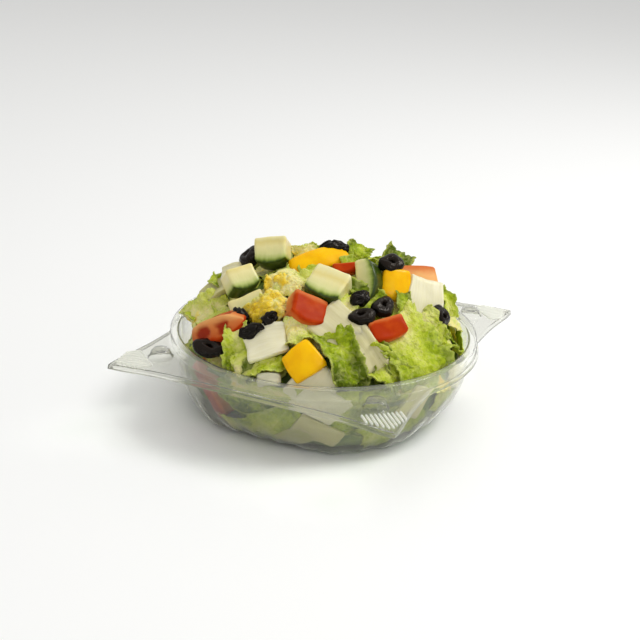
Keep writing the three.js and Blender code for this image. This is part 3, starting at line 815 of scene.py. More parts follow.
# the flat edge keeps the sheet's full gauge, where forming stretched the upper wall thin; the lower
# wall gets the same grey as painted shade, which darkens the salad seen through it: 0 is thin and
# clear, 1 full gauge or painted shade
gauge_and_painted_shade = np.clip((np.hypot(points[:, 0], points[:, 1]) - RIM_RADIUS) / 2, 0, 1)
gauge_and_painted_shade = np.maximum(gauge_and_painted_shade, 0.8 * np.clip((34 - points[:, 2]) / 10, 0, 1))
bowl = finished_object("clear_bowl", points, faces, {"gauge_and_painted_shade": gauge_and_painted_shade})
print("the bowl has", len(points), "points")

# %% [markdown]
# ## The clear plastic
# The sheet is PET, clear as glass and very thin. Solid glass would bend the salad behind it far too
# much, and a plain see-through sheet would lose its bright lines. So it is glass that bends light
# little, a touch grey where the sheet keeps its full gauge and, as painted shade, low on the wall,
# and lamps shine straight through it.

# %% Clear PET, formed
# clear and smooth: bright lines along each bend, a slightly grey sheet where it is thick, and the
# same grey low on the wall as painted shade; its IOR is lower than solid PET's 1.57, because a thin
# formed sheet bends what is behind it so little
# only 94 parts in a hundred pass through, and the rest scatters off the near-white colour: a painted
# reflection of the bright tent, a faint white veil over what lies behind
clear, tree, shader = new_material("clear formed PET", Roughness=0.05, IOR=1.3, Transmission_Weight=0.94)
gauge = add_node(tree, "ShaderNodeAttribute", attribute_name="gauge_and_painted_shade").outputs["Fac"]
tint = add_node(
    tree, "ShaderNodeMix", data_type="RGBA", _0=gauge, _6=linear("fafaf5"), _7=linear("ebebe4")
)
tree.links.new(tint.outputs[2], shader.inputs["Base Color"])
# light from the lamps passes straight through, as it does through a thin sheet
path = add_node(tree, "ShaderNodeLightPath").outputs["Is Shadow Ray"]
passing = add_node(tree, "ShaderNodeBsdfTransparent", Color=linear("eef1ee"))
mixed = add_node(tree, "ShaderNodeMixShader", _0=path, _1=shader, _2=passing)
tree.links.new(mixed.outputs[0], tree.nodes["Material Output"].inputs["Surface"])
print("the bowl has", dress(bowl, clear, "clear_plastic", "bowl"), "faces")

# %% [markdown]
# ## Grip ribs
# Each corner tab has a row of short ribs for the thumb. They could be part of the bowl's own rule,
# but they repeat at an even pitch and at every corner, so Geometry Nodes make them: one rib is put
# on the points of a short line, and the row is turned to the four corners.

# %% Running a tree


def from_tree(tree, inputs):
    """The plain mesh that a Geometry Nodes tree makes from named inputs."""
    host = bpy.data.objects.new("host", bpy.data.meshes.new("host"))
    scene.collection.objects.link(host)
    modifier = host.modifiers.new("shape", "NODES")
    modifier.node_group = tree
    for item in tree.interface.items_tree:
        if item.in_out == "INPUT" and item.name in inputs:
            modifier[item.identifier] = inputs[item.name]
    made = bpy.data.meshes.new_from_object(host.evaluated_get(bpy.context.evaluated_depsgraph_get()))
    host.modifiers.clear()
    bpy.data.objects.remove(host)
    return made


def new_tree(name, numbers):
    """An empty tree with a mesh output, a material input and named number inputs."""
    tree = bpy.data.node_groups.new(name, "GeometryNodeTree")
    tree.interface.new_socket("Geometry", in_out="OUTPUT", socket_type="NodeSocketGeometry")
    tree.interface.new_socket("Material", in_out="INPUT", socket_type="NodeSocketMaterial")
    for key, value in numbers.items():
        kind = "NodeSocketInt" if isinstance(value, int) else "NodeSocketFloat"
        tree.interface.new_socket(key, in_out="INPUT", socket_type=kind).default_value = value
    return tree, add_node(tree, "NodeGroupInput").outputs


print("ready to run Geometry Nodes")

# %% One row of grip ribs
# Count ribs, and sizes in millimetres: a row starts at From, at the Height of the flat edge's top
sizes = {"Count": 10, "Pitch": 2.2, "From": 101.5, "Height": 39.4}
sizes.update({"Length": 18.0, "Width": 1.4, "Tall": 1.6})
tree, given = new_tree("grip ribs", sizes)
size = add_node(tree, "ShaderNodeCombineXYZ", X=given["Length"], Y=given["Width"], Z=given["Tall"])
block = add_node(tree, "GeometryNodeMeshCube", Size=size, Vertices_X=6)
soft = add_node(tree, "GeometryNodeSubdivisionSurface", Mesh=block.outputs["Mesh"], Level=2)
# each rib starts at its own origin, so a shorter one ends nearer to the ring
half = add_node(tree, MATH, "MULTIPLY", _0=given["Length"], _1=0.5)
ahead = add_node(tree, "ShaderNodeCombineXYZ", X=half)
soft = add_node(tree, "GeometryNodeTransform", Geometry=soft, Translation=ahead)
spread = add_node(tree, MATH, "SUBTRACT", _0=given["Count"], _1=1.0)
reach = add_node(tree, MATH, "MULTIPLY", _0=spread, _1=given["Pitch"])
first = add_node(tree, MATH, "MULTIPLY", _0=reach, _1=-0.5)
start = add_node(tree, "ShaderNodeCombineXYZ", X=given["From"], Y=first, Z=given["Height"])
step = add_node(tree, "ShaderNodeCombineXYZ", Y=given["Pitch"])
row = add_node(tree, "GeometryNodeMeshLine", Count=given["Count"], Start_Location=start, Offset=step)
# the ribs get shorter towards the sides of the tab, as its outline does
spot = add_node(tree, "GeometryNodeInputPosition")
split = add_node(tree, "ShaderNodeSeparateXYZ", Vector=spot).outputs
aside = add_node(tree, MATH, "ABSOLUTE", _0=split["Y"])
shorter = add_node(tree, MATH, "MULTIPLY_ADD", _0=aside, _1=-0.05, _2=1.0)
scale = add_node(tree, "ShaderNodeCombineXYZ", X=shorter, Y=1.0, Z=1.0)
grip = add_node(tree, "GeometryNodeInstanceOnPoints", Points=row, Instance=soft, Scale=scale)
print("ribs on each tab:", sizes["Count"])

# %% The four corners
# with a for the angle of a tab, they are turned by a, 180 - a, 180 + a and 360 - a
corners = add_node(tree, "GeometryNodeMeshLine", Count=4, Offset=(0, 0, 0))
number = add_node(tree, "GeometryNodeInputIndex")
odd = add_node(tree, MATH, "MODULO", _0=number, _1=2.0)
flip = add_node(tree, MATH, "MULTIPLY_ADD", _0=odd, _1=-2.0 * TAB_ANGLE, _2=TAB_ANGLE)
even = add_node(tree, MATH, "ADD", _0=number, _1=odd)
turn = add_node(tree, MATH, "MULTIPLY_ADD", _0=even, _1=math.pi / 2, _2=flip)
rotation = add_node(tree, "ShaderNodeCombineXYZ", Z=turn)
all_grips = add_node(
    tree, "GeometryNodeInstanceOnPoints", Points=corners, Instance=grip, Rotation=rotation
)
real = add_node(tree, "GeometryNodeRealizeInstances", Geometry=all_grips)
metres = add_node(tree, "GeometryNodeTransform", Geometry=real, Scale=(MM, MM, MM))
dressed = add_node(tree, "GeometryNodeSetMaterial", Geometry=metres, Material=given["Material"])
add_node(tree, "NodeGroupOutput", Geometry=dressed)

# the ribs are the same plastic, made whiter and less clear than the sheet: a painted highlight that
# stands for the bright light along them
milky = clear.copy()
milky.name = "clear formed PET, painted highlight on the grips"
milky_shader = milky.node_tree.nodes["Principled BSDF"]
milky.node_tree.links.remove(milky_shader.inputs["Base Color"].links[0])
milky_shader.inputs["Base Color"].default_value = linear("fafaf2")
milky_shader.inputs["Roughness"].default_value = 0.3
milky_shader.inputs["Transmission Weight"].default_value = 0.4
grips = bpy.data.objects.new("grip_ribs", from_tree(tree, {**sizes, "Material": milky}))
grips.data.shade_smooth()
scene.collection.objects.link(grips)
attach(grips, "root")
print("grip ribs:", len(grips.data.polygons), "faces")

# %% [markdown]
# ## One torn leaf
# A torn piece of romaine is thin, puffed up between its veins, ruffled along its sides, and
# cupped round the rib. Cloth simulation could fold a sheet like that, but slowly and with little
# say in it. All the pieces follow one rule with other numbers, so a tree makes them: a
# flat grid is bent, then raised between the veins, ruffled more and more towards its sides, torn
# along its outline, and given its thickness. The distance to the nearest vein is kept on the mesh,
# because the shader draws the pale veins where the surface dips.

# %% The leaf's torn outline
# sizes in millimetres; the grid has Columns by Rows points
sizes = {
    "Columns": 49,
    "Rows": 37,
    "Length": 30.0,
    "Width": 24.0,
    "Cup": 3.0,
    "Curl": 3.0,
    "Ruffle": 4.0,
    "Blister": 1.1,
    "Thick": 0.6,
    "Seed": 0.0,
}
VEIN_CELL, SIDE_VEINS, PUFF_REACH = 5.2, 8.5, 1.9  # millimetres
tree, given = new_tree("torn leaf", sizes)
grid = add_node(tree, "GeometryNodeMeshGrid", Size_X=2.0, Size_Y=2.0)
tree.links.new(given["Columns"], grid.inputs["Vertices X"])
tree.links.new(given["Rows"], grid.inputs["Vertices Y"])
unit = add_node(tree, "GeometryNodeInputPosition")
placed = add_node(
    tree,
    "GeometryNodeStoreNamedAttribute",
    data_type="FLOAT_VECTOR",
    Geometry=grid.outputs["Mesh"],
    Name="leaf_place",
    Value=unit,
)
# the torn outline: the unit grid swells and shrinks, coarsely all over and finely at its edge
broad = add_node(
    tree, "ShaderNodeTexNoise", noise_dimensions="4D", Vector=unit, W=given["Seed"], Scale=1.3, Detail=4.0
)
swell = add_node(tree, MATH, "MULTIPLY_ADD", _0=broad.outputs["Fac"], _1=1.1, _2=0.42)
half = add_node(tree, "ShaderNodeCombineXYZ", X=given["Length"], Y=given["Width"])
half = add_node(tree, VECTOR_MATH, "SCALE", _0=half, Scale=0.5)
spread = add_node(tree, VECTOR_MATH, "MULTIPLY", _0=unit, _1=half)
spread = add_node(tree, VECTOR_MATH, "SCALE", _0=spread, Scale=swell)
# u and v run from -1 to 1, and their squares say how near the ends and the sides are
split = add_node(tree, "ShaderNodeSeparateXYZ", Vector=unit).outputs
u2 = add_node(tree, MATH, "MULTIPLY", _0=split["X"], _1=split["X"])
v2 = add_node(tree, MATH, "MULTIPLY", _0=split["Y"], _1=split["Y"])
edge = add_node(tree, MATH, "MAXIMUM", _0=u2, _1=v2)
edge4 = add_node(tree, MATH, "POWER", _0=edge, _1=3.0)
print("the leaf's tree starts with", len(tree.nodes), "nodes")

# %% The leaf's veins
# a net of cells, and side veins that leave the middle at a slant
lifted = add_node(tree, "ShaderNodeCombineXYZ", Z=given["Seed"])
in_mm = add_node(tree, VECTOR_MATH, "ADD", _0=spread, _1=lifted)
warp = add_node(tree, "ShaderNodeTexNoise", Vector=in_mm, Scale=0.18, Detail=2.0)
warped = add_node(
    tree, VECTOR_MATH, "MULTIPLY_ADD", _0=warp.outputs["Color"], _1=(9.0, 9.0, 0.0), _2=in_mm
)
net = add_node(
    tree, "ShaderNodeTexVoronoi", feature="DISTANCE_TO_EDGE", Vector=warped, Scale=1.0 / VEIN_CELL
).outputs["Distance"]
net = add_node(tree, MATH, "MULTIPLY", _0=net, _1=VEIN_CELL)
slanted = add_node(tree, "ShaderNodeSeparateXYZ", Vector=warped).outputs
aside = add_node(tree, MATH, "ABSOLUTE", _0=slanted["Y"])
slant = add_node(tree, MATH, "MULTIPLY_ADD", _0=aside, _1=-0.9, _2=slanted["X"])
side = add_node(tree, MATH, "PINGPONG", _0=slant, _1=SIDE_VEINS / 2)
vein = add_node(tree, MATH, "MINIMUM", _0=net, _1=side)
veined = add_node(
    tree, "GeometryNodeStoreNamedAttribute", data_type="FLOAT", Geometry=placed, Name="vein", Value=vein
)
puff = add_node(
    tree,
    "ShaderNodeMapRange",
    interpolation_type="SMOOTHSTEP",
    Value=vein,
    From_Max=PUFF_REACH,
    To_Max=given["Blister"],
)
print("with its veins it has", len(tree.nodes), "nodes")

# %% The leaf's bends and ruffles
# cupped across, curled along
cup = add_node(tree, MATH, "MULTIPLY", _0=v2, _1=given["Cup"])
curl = add_node(tree, MATH, "MULTIPLY", _0=u2, _1=given["Curl"])
height = add_node(tree, MATH, "SUBTRACT", _0=cup, _1=curl)
height = add_node(tree, MATH, "ADD", _0=height, _1=puff)
# ruffles: broad waves that grow towards the sides, and small frills at the very edge, each with
# its size in millimetres, what it grows with, its strength in the middle, and its gain at the edge
for size, grows, middle, most in ((13.0, edge, 0.9, 2.2), (5.0, edge, 0.45, 0.9), (2.6, edge4, 0.12, 0.75)):
    waves = add_node(
        tree, "ShaderNodeTexNoise", Vector=in_mm, Scale=1.0 / size, Detail=1.0
    ).outputs["Fac"]
    waves = add_node(tree, MATH, "SUBTRACT", _0=waves, _1=0.5)
    rate = add_node(tree, MATH, "MULTIPLY_ADD", _0=grows, _1=most, _2=middle)
    rate = add_node(tree, MATH, "MULTIPLY", _0=rate, _1=given["Ruffle"])
    height = add_node(tree, MATH, "MULTIPLY_ADD", _0=waves, _1=rate, _2=height)
# the edge is also frayed in its own plane
fray = add_node(tree, "ShaderNodeTexNoise", Vector=in_mm, Scale=0.42, Detail=2.0).outputs["Color"]
fray = add_node(tree, VECTOR_MATH, "SUBTRACT", _0=fray, _1=(0.5, 0.5, 0.5))
fray_rate = add_node(tree, MATH, "MULTIPLY", _0=edge4, _1=2.8)
fray = add_node(tree, VECTOR_MATH, "SCALE", _0=fray, Scale=fray_rate)
upward = add_node(tree, "ShaderNodeCombineXYZ", Z=height)
moved = add_node(tree, VECTOR_MATH, "ADD", _0=spread, _1=upward)
moved = add_node(tree, VECTOR_MATH, "ADD", _0=moved, _1=fray)
shaped = add_node(tree, "GeometryNodeSetPosition", Geometry=veined, Position=moved)
print("with its ruffles it has", len(tree.nodes), "nodes")

# %% The leaf's two faces
# the lower face, the upper one, and the edge between them
raised = add_node(
    tree,
    "GeometryNodeExtrudeMesh",
    mode="FACES",
    Mesh=shaped,
    Offset_Scale=given["Thick"],
    Individual=False,
)
turned = add_node(tree, "GeometryNodeFlipFaces", Mesh=shaped)
both = add_node(tree, "GeometryNodeJoinGeometry")
tree.links.new(raised.outputs["Mesh"], both.inputs[0])
tree.links.new(turned.outputs[0], both.inputs[0])
closed = add_node(tree, "GeometryNodeMergeByDistance", Geometry=both, Distance=0.001)
real = add_node(tree, "GeometryNodeRealizeInstances", Geometry=closed)
dressed = add_node(tree, "GeometryNodeSetMaterial", Geometry=real, Material=given["Material"])
add_node(tree, "NodeGroupOutput", Geometry=dressed)
leaf_tree = tree


def arrays_of(mesh):
    """The points and faces of a leaf, as numbers, with its stored places and vein distances."""
    points = np.empty(len(mesh.vertices) * 3, dtype=np.float32)
    mesh.vertices.foreach_get("co", points)
    flat = np.empty(len(mesh.vertices) * 3, dtype=np.float32)
    mesh.attributes["leaf_place"].data.foreach_get("vector", flat)
    vein = np.empty(len(mesh.vertices), dtype=np.float32)
    mesh.attributes["vein"].data.foreach_get("value", vein)
    faces = [list(face.vertices) for face in mesh.polygons]
    return points.reshape(-1, 3).astype(float), faces, flat.reshape(-1, 3), vein


test_leaf = from_tree(leaf_tree, sizes)
print("one leaf:", len(test_leaf.vertices), "points,", len(test_leaf.polygons), "faces")

# %% [markdown]
# ## The heap
# What shows of the heap is leaves and ribs that lie over each other. They could be dropped in a
# simulation, but then they wouldn't lie as in the photograph, so the ones that it shows are placed
# one by one, the large ones where the imported model has them. The rest are scattered by rules with
# fixed seeds: round the sides and back, in the gaps, and against the wall, where they show through.

# %% The table of leaves
# kind, middle, bearing, lift, spin, length, width, cup, curl, ruffle, and how green each one is:
# 0 for the yellow heart of the head and 1 for its dark outer leaves; above 1 is darker still,
# painted shade for a leaf that lies deep in a recess
LEAVES = [
    ("rib", (-29, -60, 59), -98, 46, 20, 22, 18, 1.5, 1, 0, 0.1),
    ("rib", (8.8, -54.5, 64), -84, 48, -46, 30, 22, 1, 2, 0, 0.3),
    ("rib", (21, -61.5, 57), -80, 42, -58, 24, 15, 1, 2, 0, 0.35),
    ("rib", (53, -16, 68), -62, 36, 66, 25, 21, 1.5, 1, 0, 0.12),
    ("rib", (-4, -75, 42.5), -92, 16, 60, 22, 22, 1, 1, 0, 0.1),
    ("rib", (-61, -1, 62), -150, 44, 70, 18, 14, 1, 1, 0, 0.45),
    ("rib", (-27, -73, 44), -100, 30, 10, 12, 6, 1, 1, 0, 0.0),
    ("leaf", (45, -51.5, 55), -60, 45, -72, 35, 35, 3, 3, 5, 0.62),
    ("leaf", (54.5, -31, 56), -48, 36, -70, 25, 23, 3, 3, 4, 0.5),
    ("leaf", (32, -65, 48), -66, 30, -40, 26, 18, 4, 4, 6, 0.66),
    ("leaf", (10, -70, 56), -84, 38, -70, 30, 20, 4, 2, 7, 0.88),
    ("leaf", (-14, -58, 65), -94, 50, 20, 18, 16, 2, 3, 4, 0.4),
    ("leaf", (-28, -42, 70), -104, 54, 40, 22, 20, -3, 4, 7, 0.08),
    ("leaf", (-20, -25, 77.5), -96, 56, 10, 26, 19, -3, 4, 7, 0.28),
    ("leaf", (-44, -55, 55), -116, 38, -70, 26, 13, 3, 2, 3, 0.6),
    ("leaf", (-33, -66, 50), -108, 36, 30, 26, 18, 3, 3, 4, 0.6),
    ("leaf", (-65, -13, 54.5), -150, 46, 64, 27, 22, 3, 3, 5, 0.38),
    ("leaf", (16, 16, 80), -84, 34, 60, 18, 15, 3, 2, 4, 0.66),
    ("leaf", (36, 13, 76.5), -78, 42, 50, 24, 17, 3, 2, 2.5, 0.98),
    ("leaf", (66, -4, 63), -34, 40, 76, 19, 10, 3, 3, 3, 0.62),
    ("leaf", (-60, 2, 68.5), -130, 50, 0, 10, 8, 1, 1, 1, 0.8),
    ("leaf", (-12, 10, 84.5), -90, 36, 10, 14, 9, 1, 1, 3, 0.3),
    ("leaf", (-73, -2, 52), -165, 50, 20, 17, 11, 1, 1, 3, 0.5),
    # darker than any leaf: painted shade for the dark recess below the bright leaf
    ("leaf", (17, -71, 47.5), -84, 24, 60, 20, 15, 1, 1, 2, 1.3),
    ("leaf", (31, -60, 53.5), -66, 40, -62, 20, 10, 4, 2, 2, 0.95),
    ("leaf", (11.5, -41, 73), -90, 50, 80, 15, 12, 1, 2, 3, 0.42),
    ("leaf", (42, -27, 69), -70, 44, 80, 16, 9, 1, 1, 1, 0.75),
    ("rib", (-51.5, 2, 73.5), -135, 46, 40, 13, 9, 1, 1, 0, 0.2),
    # a tone above 1: painted shade, low at the front
    ("leaf", (-37, -67, 46), -110, 24, 60, 12, 10, 1, 1, 1, 1.1),
]

# the yellow hearts are bunches of small crinkled bits: middle, bearing, lift, spin, length, green
HEARTS = [
    ((-31, -42, 73.5), -115, 62, 10, 14, 0.1),
    ((-23.5, -42, 74), -80, 62, 80, 15, 0.12),
    ((-28.5, -47, 71.5), -100, 44, -20, 15, 0.04),
    ((-27, -37, 76), -95, 70, 120, 14, 0.14),
    ((-25, -27, 80), -110, 60, 20, 14, 0.27),
    ((-14.5, -27, 80), -80, 60, 100, 15, 0.3),
    ((-19, -30, 79), -95, 48, -10, 16, 0.22),
    ((-21, -20, 82), -90, 70, 60, 14, 0.32),
]
HEART_ROWS = [("leaf", *row[:5], 0.8 * row[4], -3, 3, 5, row[5]) for row in HEARTS]
print("leaves and ribs placed one by one:", len(LEAVES) + len(HEART_ROWS))

# %% Scattered leaves
GOLDEN_ANGLE = 137.508  # degrees from each small leaf to the next, which spreads them evenly
RIB_CLEARANCE = 13  # millimetres between the middles of a small leaf and a thick rib


def random_stream(seed):
    """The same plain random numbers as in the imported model."""
    state = seed
    while True:
        state = (state * 1664525 + 1013904223) % 4294967296
        yield state / 4294967296


def further_leaves():
    """The leaves round the sides and back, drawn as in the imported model."""
    draw = random_stream(7)
    rows = []
    for count, start, end, radius, height, lift in (
        (8, 8, 186, 64, 54, 38),
        (5, 24, 166, 42, 68.5, 60),
    ):
        for i in range(count):
            bearing = start + (end - start) * (i + 0.7 * next(draw)) / count
            away = radius + 4 * next(draw) - 2
            x, y = away * math.cos(math.radians(bearing)), away * math.sin(math.radians(bearing))
            z = height + 4 * next(draw)
            kind = "rib" if next(draw) < 0.22 else "leaf"
            spin = 180 * next(draw)
            long = 26 + 10 * next(draw)
            wide = 17 if kind == "rib" else 22 + 8 * next(draw)
            rows.append((kind, (x, y, z), bearing, lift, spin, long, wide, 3, 3, 3, 0.44 + 0.05 * (i % 8)))
    return rows


def small_leaves(seed, count):
    """Small torn bits that fill the places between the large leaves, all over the mound."""
    rng = np.random.default_rng(seed)
    rows = []
    for i in range(count):
        bearing = (i * GOLDEN_ANGLE) % 360 - 180
        share = math.sqrt((i + 0.5) / count)
        radius = 74 * share
        z = 36 + 44 * (1 - share**2.5) + rng.uniform(-3, 0)
        x, y = radius * math.cos(math.radians(bearing)), radius * math.sin(math.radians(bearing))
        lift = 80 - 55 * share**1.5 + rng.uniform(-14, 14)
        size = rng.uniform(18, 28)
        tone = rng.choice([0.2, 0.35, 0.5, 0.55, 0.7, 0.85])
        # none pokes through a thick rib
        if any(row[0] == "rib" and math.dist(row[1], (x, y, z)) < RIB_CLEARANCE for row in LEAVES):
            continue
        rows.append(
            ("leaf", (x, y, z), bearing, lift, rng.uniform(0, 360), size, 0.85 * size, 2, 3, 3.5, tone)
        )
    return rows


print("round the sides and back:", len(further_leaves()), "and in the gaps:", len(small_leaves(5, 60)))

# %% Leaves against the wall
# those that show through the front: kind, bearing, height, spin, length, width, green
BEHIND_FRONT = [
    ("leaf", -109, 17, 38, 42, 24, 0.72),
    ("leaf", -121, 29, -20, 32, 19, 0.95),
    ("rib", -91, 17, -28, 25, 14, 0.45),
    ("leaf", -74, 22, -12, 38, 22, 0.92),
    ("rib", -90, 34, -40, 24, 19, 0.0),
    ("rib", -100, 12, 40, 20, 13, 0.55),
    ("leaf", -60, 15, 20, 34, 20, 0.74),
    ("rib", -52, 29, 60, 20, 13, 0.3),
    ("leaf", -126, 10, 10, 24, 13, 0.6),
    ("leaf", -72, 36, 4, 36, 12, 0.7),
    ("leaf", -110, 37, 0, 38, 11, 0.5),
    ("leaf", -50, 37, 0, 30, 11, 0.6),
]


def wall_leaves(seed):
    """Leaves and ribs that lie against the inside of the bowl and show through it."""
    rng = np.random.default_rng(seed)
    rows = list(BEHIND_FRONT)
    for ring, (z, count) in enumerate(((11, 11), (20, 13), (30, 14))):
        for i in range(count):
            bearing = -180 + 360 * (i + 0.5 * ring + rng.uniform(-0.2, 0.2)) / count
            kind = "rib" if rng.random() < 0.3 else "leaf"
            long = rng.uniform(28, 38) if kind == "leaf" else rng.uniform(20, 28)
            wide = rng.uniform(15, 19) if kind == "leaf" else rng.uniform(12, 15)
            tone = rng.choice([0.3, 0.5, 0.65, 0.8, 0.95]) if kind == "leaf" else rng.uniform(0.05, 0.4)
            spin = rng.uniform(-35, 35)
            # the front has its own rows, and high at the left the bowl is empty
            front = -158 < bearing < -40
            empty = z > 15 and (bearing < -150 or bearing > 170)
            if not front and not empty:
                rows.append((kind, bearing, z, spin, long, wide, tone))
    return rows


print("against the wall:", len(wall_leaves(11)))

# %% Fitting leaves to the bowl
PRESS_RADIUS = 72  # millimetres from the middle to the wall, about, where a leaf is bent round it
LEFT_GAP, LEFT_GAP_HALF = -154, 17  # bearing and half width, in degrees, where the wall is bare
LEFT_GAP_RADIUS = 73.0  # as far out as leaves reach there


def press(points, bearing, height, spin, behind):
    """Lays a flat piece against the inside of the wall, or some way behind it."""
    turn = math.radians(spin)
    level = points[:, 0] * math.cos(turn) - points[:, 1] * math.sin(turn)
    rise = points[:, 0] * math.sin(turn) + points[:, 1] * math.cos(turn)
    z = np.clip(height + 0.85 * rise, 1.6, RIM_HEIGHT - 3)
    angle = math.radians(bearing) + level / PRESS_RADIUS + SERVING_TURN
    top = np.percentile(points[:, 2], 92)
    away = wall_radius(angle, z) - SHEET / 2 - 0.3 - behind - np.maximum(0, 0.8 * (top - points[:, 2]))
    return np.stack([away * np.cos(angle), away * np.sin(angle), z], axis=1)


def inside_bowl(points, gap=0.25):
    """Pulls points in to the inside of the wall, below the ring, and over the base."""
    points = points.copy()
    angle = np.arctan2(points[:, 1], points[:, 0])
    radius = np.hypot(points[:, 0], points[:, 1])
    z = points[:, 2]
    most = wall_radius(angle, np.clip(z, 0, RIM_HEIGHT)) - SHEET / 2 - gap
    most = np.where(z > RIM_HEIGHT + 1, RIM_RADIUS + 1.5, most)
    # at the left the salad keeps off the wall, and the ring shows clear
    turn = np.abs(np.degrees(angle - SERVING_TURN) - LEFT_GAP) % 360
    bare = (z > 30) & (np.minimum(turn, 360 - turn) < LEFT_GAP_HALF)
    most = np.where(bare, np.minimum(most, LEFT_GAP_RADIUS), most)
    shrink = np.minimum(1.0, most / np.maximum(radius, 1e-6))
    points[:, 0] *= shrink
    points[:, 1] *= shrink
    points[:, 2] = np.maximum(z, SHEET + gap)
    return points


RIB_PLACES = [(place(*row[1:5]), row[5] / 2, row[6] / 2) for row in LEAVES if row[0] == "rib"]
RIB_HALF = 3.4  # half the thickness of a rib, and a little more


def tuck_under_ribs(points):
    """Moves what would run through a thick rib to its hidden side."""
    points = points.copy()
    for axes, half_long, half_wide in RIB_PLACES:
        own = (points - axes[:3, 3]) @ axes[:3, :3]
        inside = (np.abs(own[:, 0]) < half_long - 0.5) & (np.abs(own[:, 1]) < half_wide - 0.5)
        inside &= np.abs(own[:, 2]) < RIB_HALF
        own[inside, 2] = -RIB_HALF + 0.1 * own[inside, 2]
        points[inside] = own[inside] @ axes[:3, :3].T + axes[:3, 3]
    return points


print("thick ribs:", len(RIB_PLACES), "and leaves keep off the wall at bearing", LEFT_GAP)

# %% Leaves and ribs
HEART_TONE = 0.33  # leaves less green than this belong to the heart of the head
SMALL_LEAF = 17  # millimetres; leaves up to this length get a coarse grid, unless they are hearts


def rib_block(long, wide, cup, curl, seed):
    """A thick white rib, cut across: softly ridged along its length."""
    points, faces, flat = soft_block(long, wide, 4.6, 1.4, 13)
    u, v = flat[:, 0] / (long / 2), flat[:, 1] / (wide / 2)
    points[:, 1] *= 1 - 0.1 * u
    points[:, 2] += cup * v**2 - curl * u**2 + 0.22 * np.sin(v * 9 + seed)
    points += wobble(points, 9.0, 0.9, seed) + wobble(points, 3.0, 0.15, seed)
    return points, faces, np.stack([u, v, flat[:, 2]], axis=1)


leaf_batches = {"heart": Batch(), "outer": Batch(), "filling": Batch(), "pressed": Batch()}
rib_batches = {"loose": Batch(), "pressed": Batch()}


def shape_of(kind, long, wide, cup, curl, ruffle, tone, seed, fine=True):
    """Points, faces and attributes of one leaf or rib, lying flat."""
    if kind == "rib":
        points, faces, flat = rib_block(long, wide, cup, curl, seed)
        return points, faces, {"leaf_place": flat, "green": np.full(len(points), tone)}
    inputs = {"Length": long, "Width": wide, "Cup": cup, "Curl": curl, "Ruffle": ruffle}
    inputs.update(Seed=11.3 * seed, Blister=0.7 if tone < 0.25 else 0.45)
    inputs = {key: float(value) for key, value in inputs.items()}
    if not fine:
        inputs.update(Columns=27, Rows=21)
    points, faces, flat, vein = arrays_of(from_tree(leaf_tree, inputs))
    return points, faces, {"leaf_place": flat, "green": np.full(len(points), tone), "vein": vein}


def lay(rows, first_seed, group=None):
    """Puts leaves and ribs at their places on the mound."""
    for i, (kind, at, bearing, lift, spin, long, wide, cup, curl, ruffle, tone) in enumerate(rows):
        heart = tone < HEART_TONE
        fine = not group and (heart or long > SMALL_LEAF)
        made = shape_of(kind, long, wide, cup, curl, ruffle, tone, i * 3.7 + first_seed, fine)
        points = inside_bowl(put(made[0], place(at, bearing, lift, spin)))
        points = points if kind == "rib" else tuck_under_ribs(points)
        name = group or ("heart" if heart else "outer")
        batch = rib_batches["loose"] if kind == "rib" else leaf_batches[name]
        batch.add(points, made[1], made[2])


lay(LEAVES + further_leaves() + HEART_ROWS, 0)
lay(small_leaves(5, 60), 50, "filling")
for i, (kind, bearing, height, spin, long, wide, tone) in enumerate(wall_leaves(11)):
    points, faces, attributes = shape_of(kind, long, wide, 0, 0, 1.6, tone, i * 3.7 + 90, False)
    points = press(points, bearing, height, spin, 0 if kind == "rib" else 0.9 + 0.8 * (i % 2))
    batch = rib_batches["pressed"] if kind == "rib" else leaf_batches["pressed"]
    batch.add(points, faces, attributes)
batches = (*leaf_batches.values(), *rib_batches.values())
print("leaves and ribs:", sum(batch.count for batch in batches), "points")

# %% [markdown]
# ## The look of the leaves
# Romaine goes from pale yellow in the heart of the head to dark green at its outer tips. Each leaf
# could have a colour of its own, but a torn piece shows several tones at once. So one ramp holds
# them all, and the leaf's own tone is shifted along it by the place on the leaf and by noise. Its
# crinkles shift it too, as painted light and shade: towards the dark green end of the ramp in their
# hollows and towards the yellow end on their ridges.

# %% Fresh romaine leaf
# crisp and moist: light shines through the thin blade, and the crinkles break up a faint gloss
leaf_look, tree, shader = new_material(
    "fresh romaine leaf",
    Roughness=0.42,
    Specular_IOR_Level=0.14,
    Subsurface_Weight=0.3,
    Subsurface_Radius=(0.9, 1.0, 0.15),
    Subsurface_Scale=0.002,
)
flat = add_node(tree, "ShaderNodeAttribute", attribute_name="leaf_place").outputs["Vector"]
green = add_node(tree, "ShaderNodeAttribute", attribute_name="green").outputs["Fac"]
in_object = add_node(tree, "ShaderNodeTexCoord").outputs["Object"]
split = add_node(tree, "ShaderNodeSeparateXYZ", Vector=flat).outputs
aside = add_node(tree, MATH, "ABSOLUTE", _0=split["Y"])
# patches nine millimetres across, and crinkles two and a half millimetres apart
patches = add_node(tree, "ShaderNodeTexNoise", Vector=in_object, Scale=110.0, Detail=3.0).outputs["Fac"]
crinkle = add_node(
    tree, "ShaderNodeTexNoise", Vector=in_object, Scale=420.0, Detail=3.0, Distortion=0.6
).outputs["Fac"]
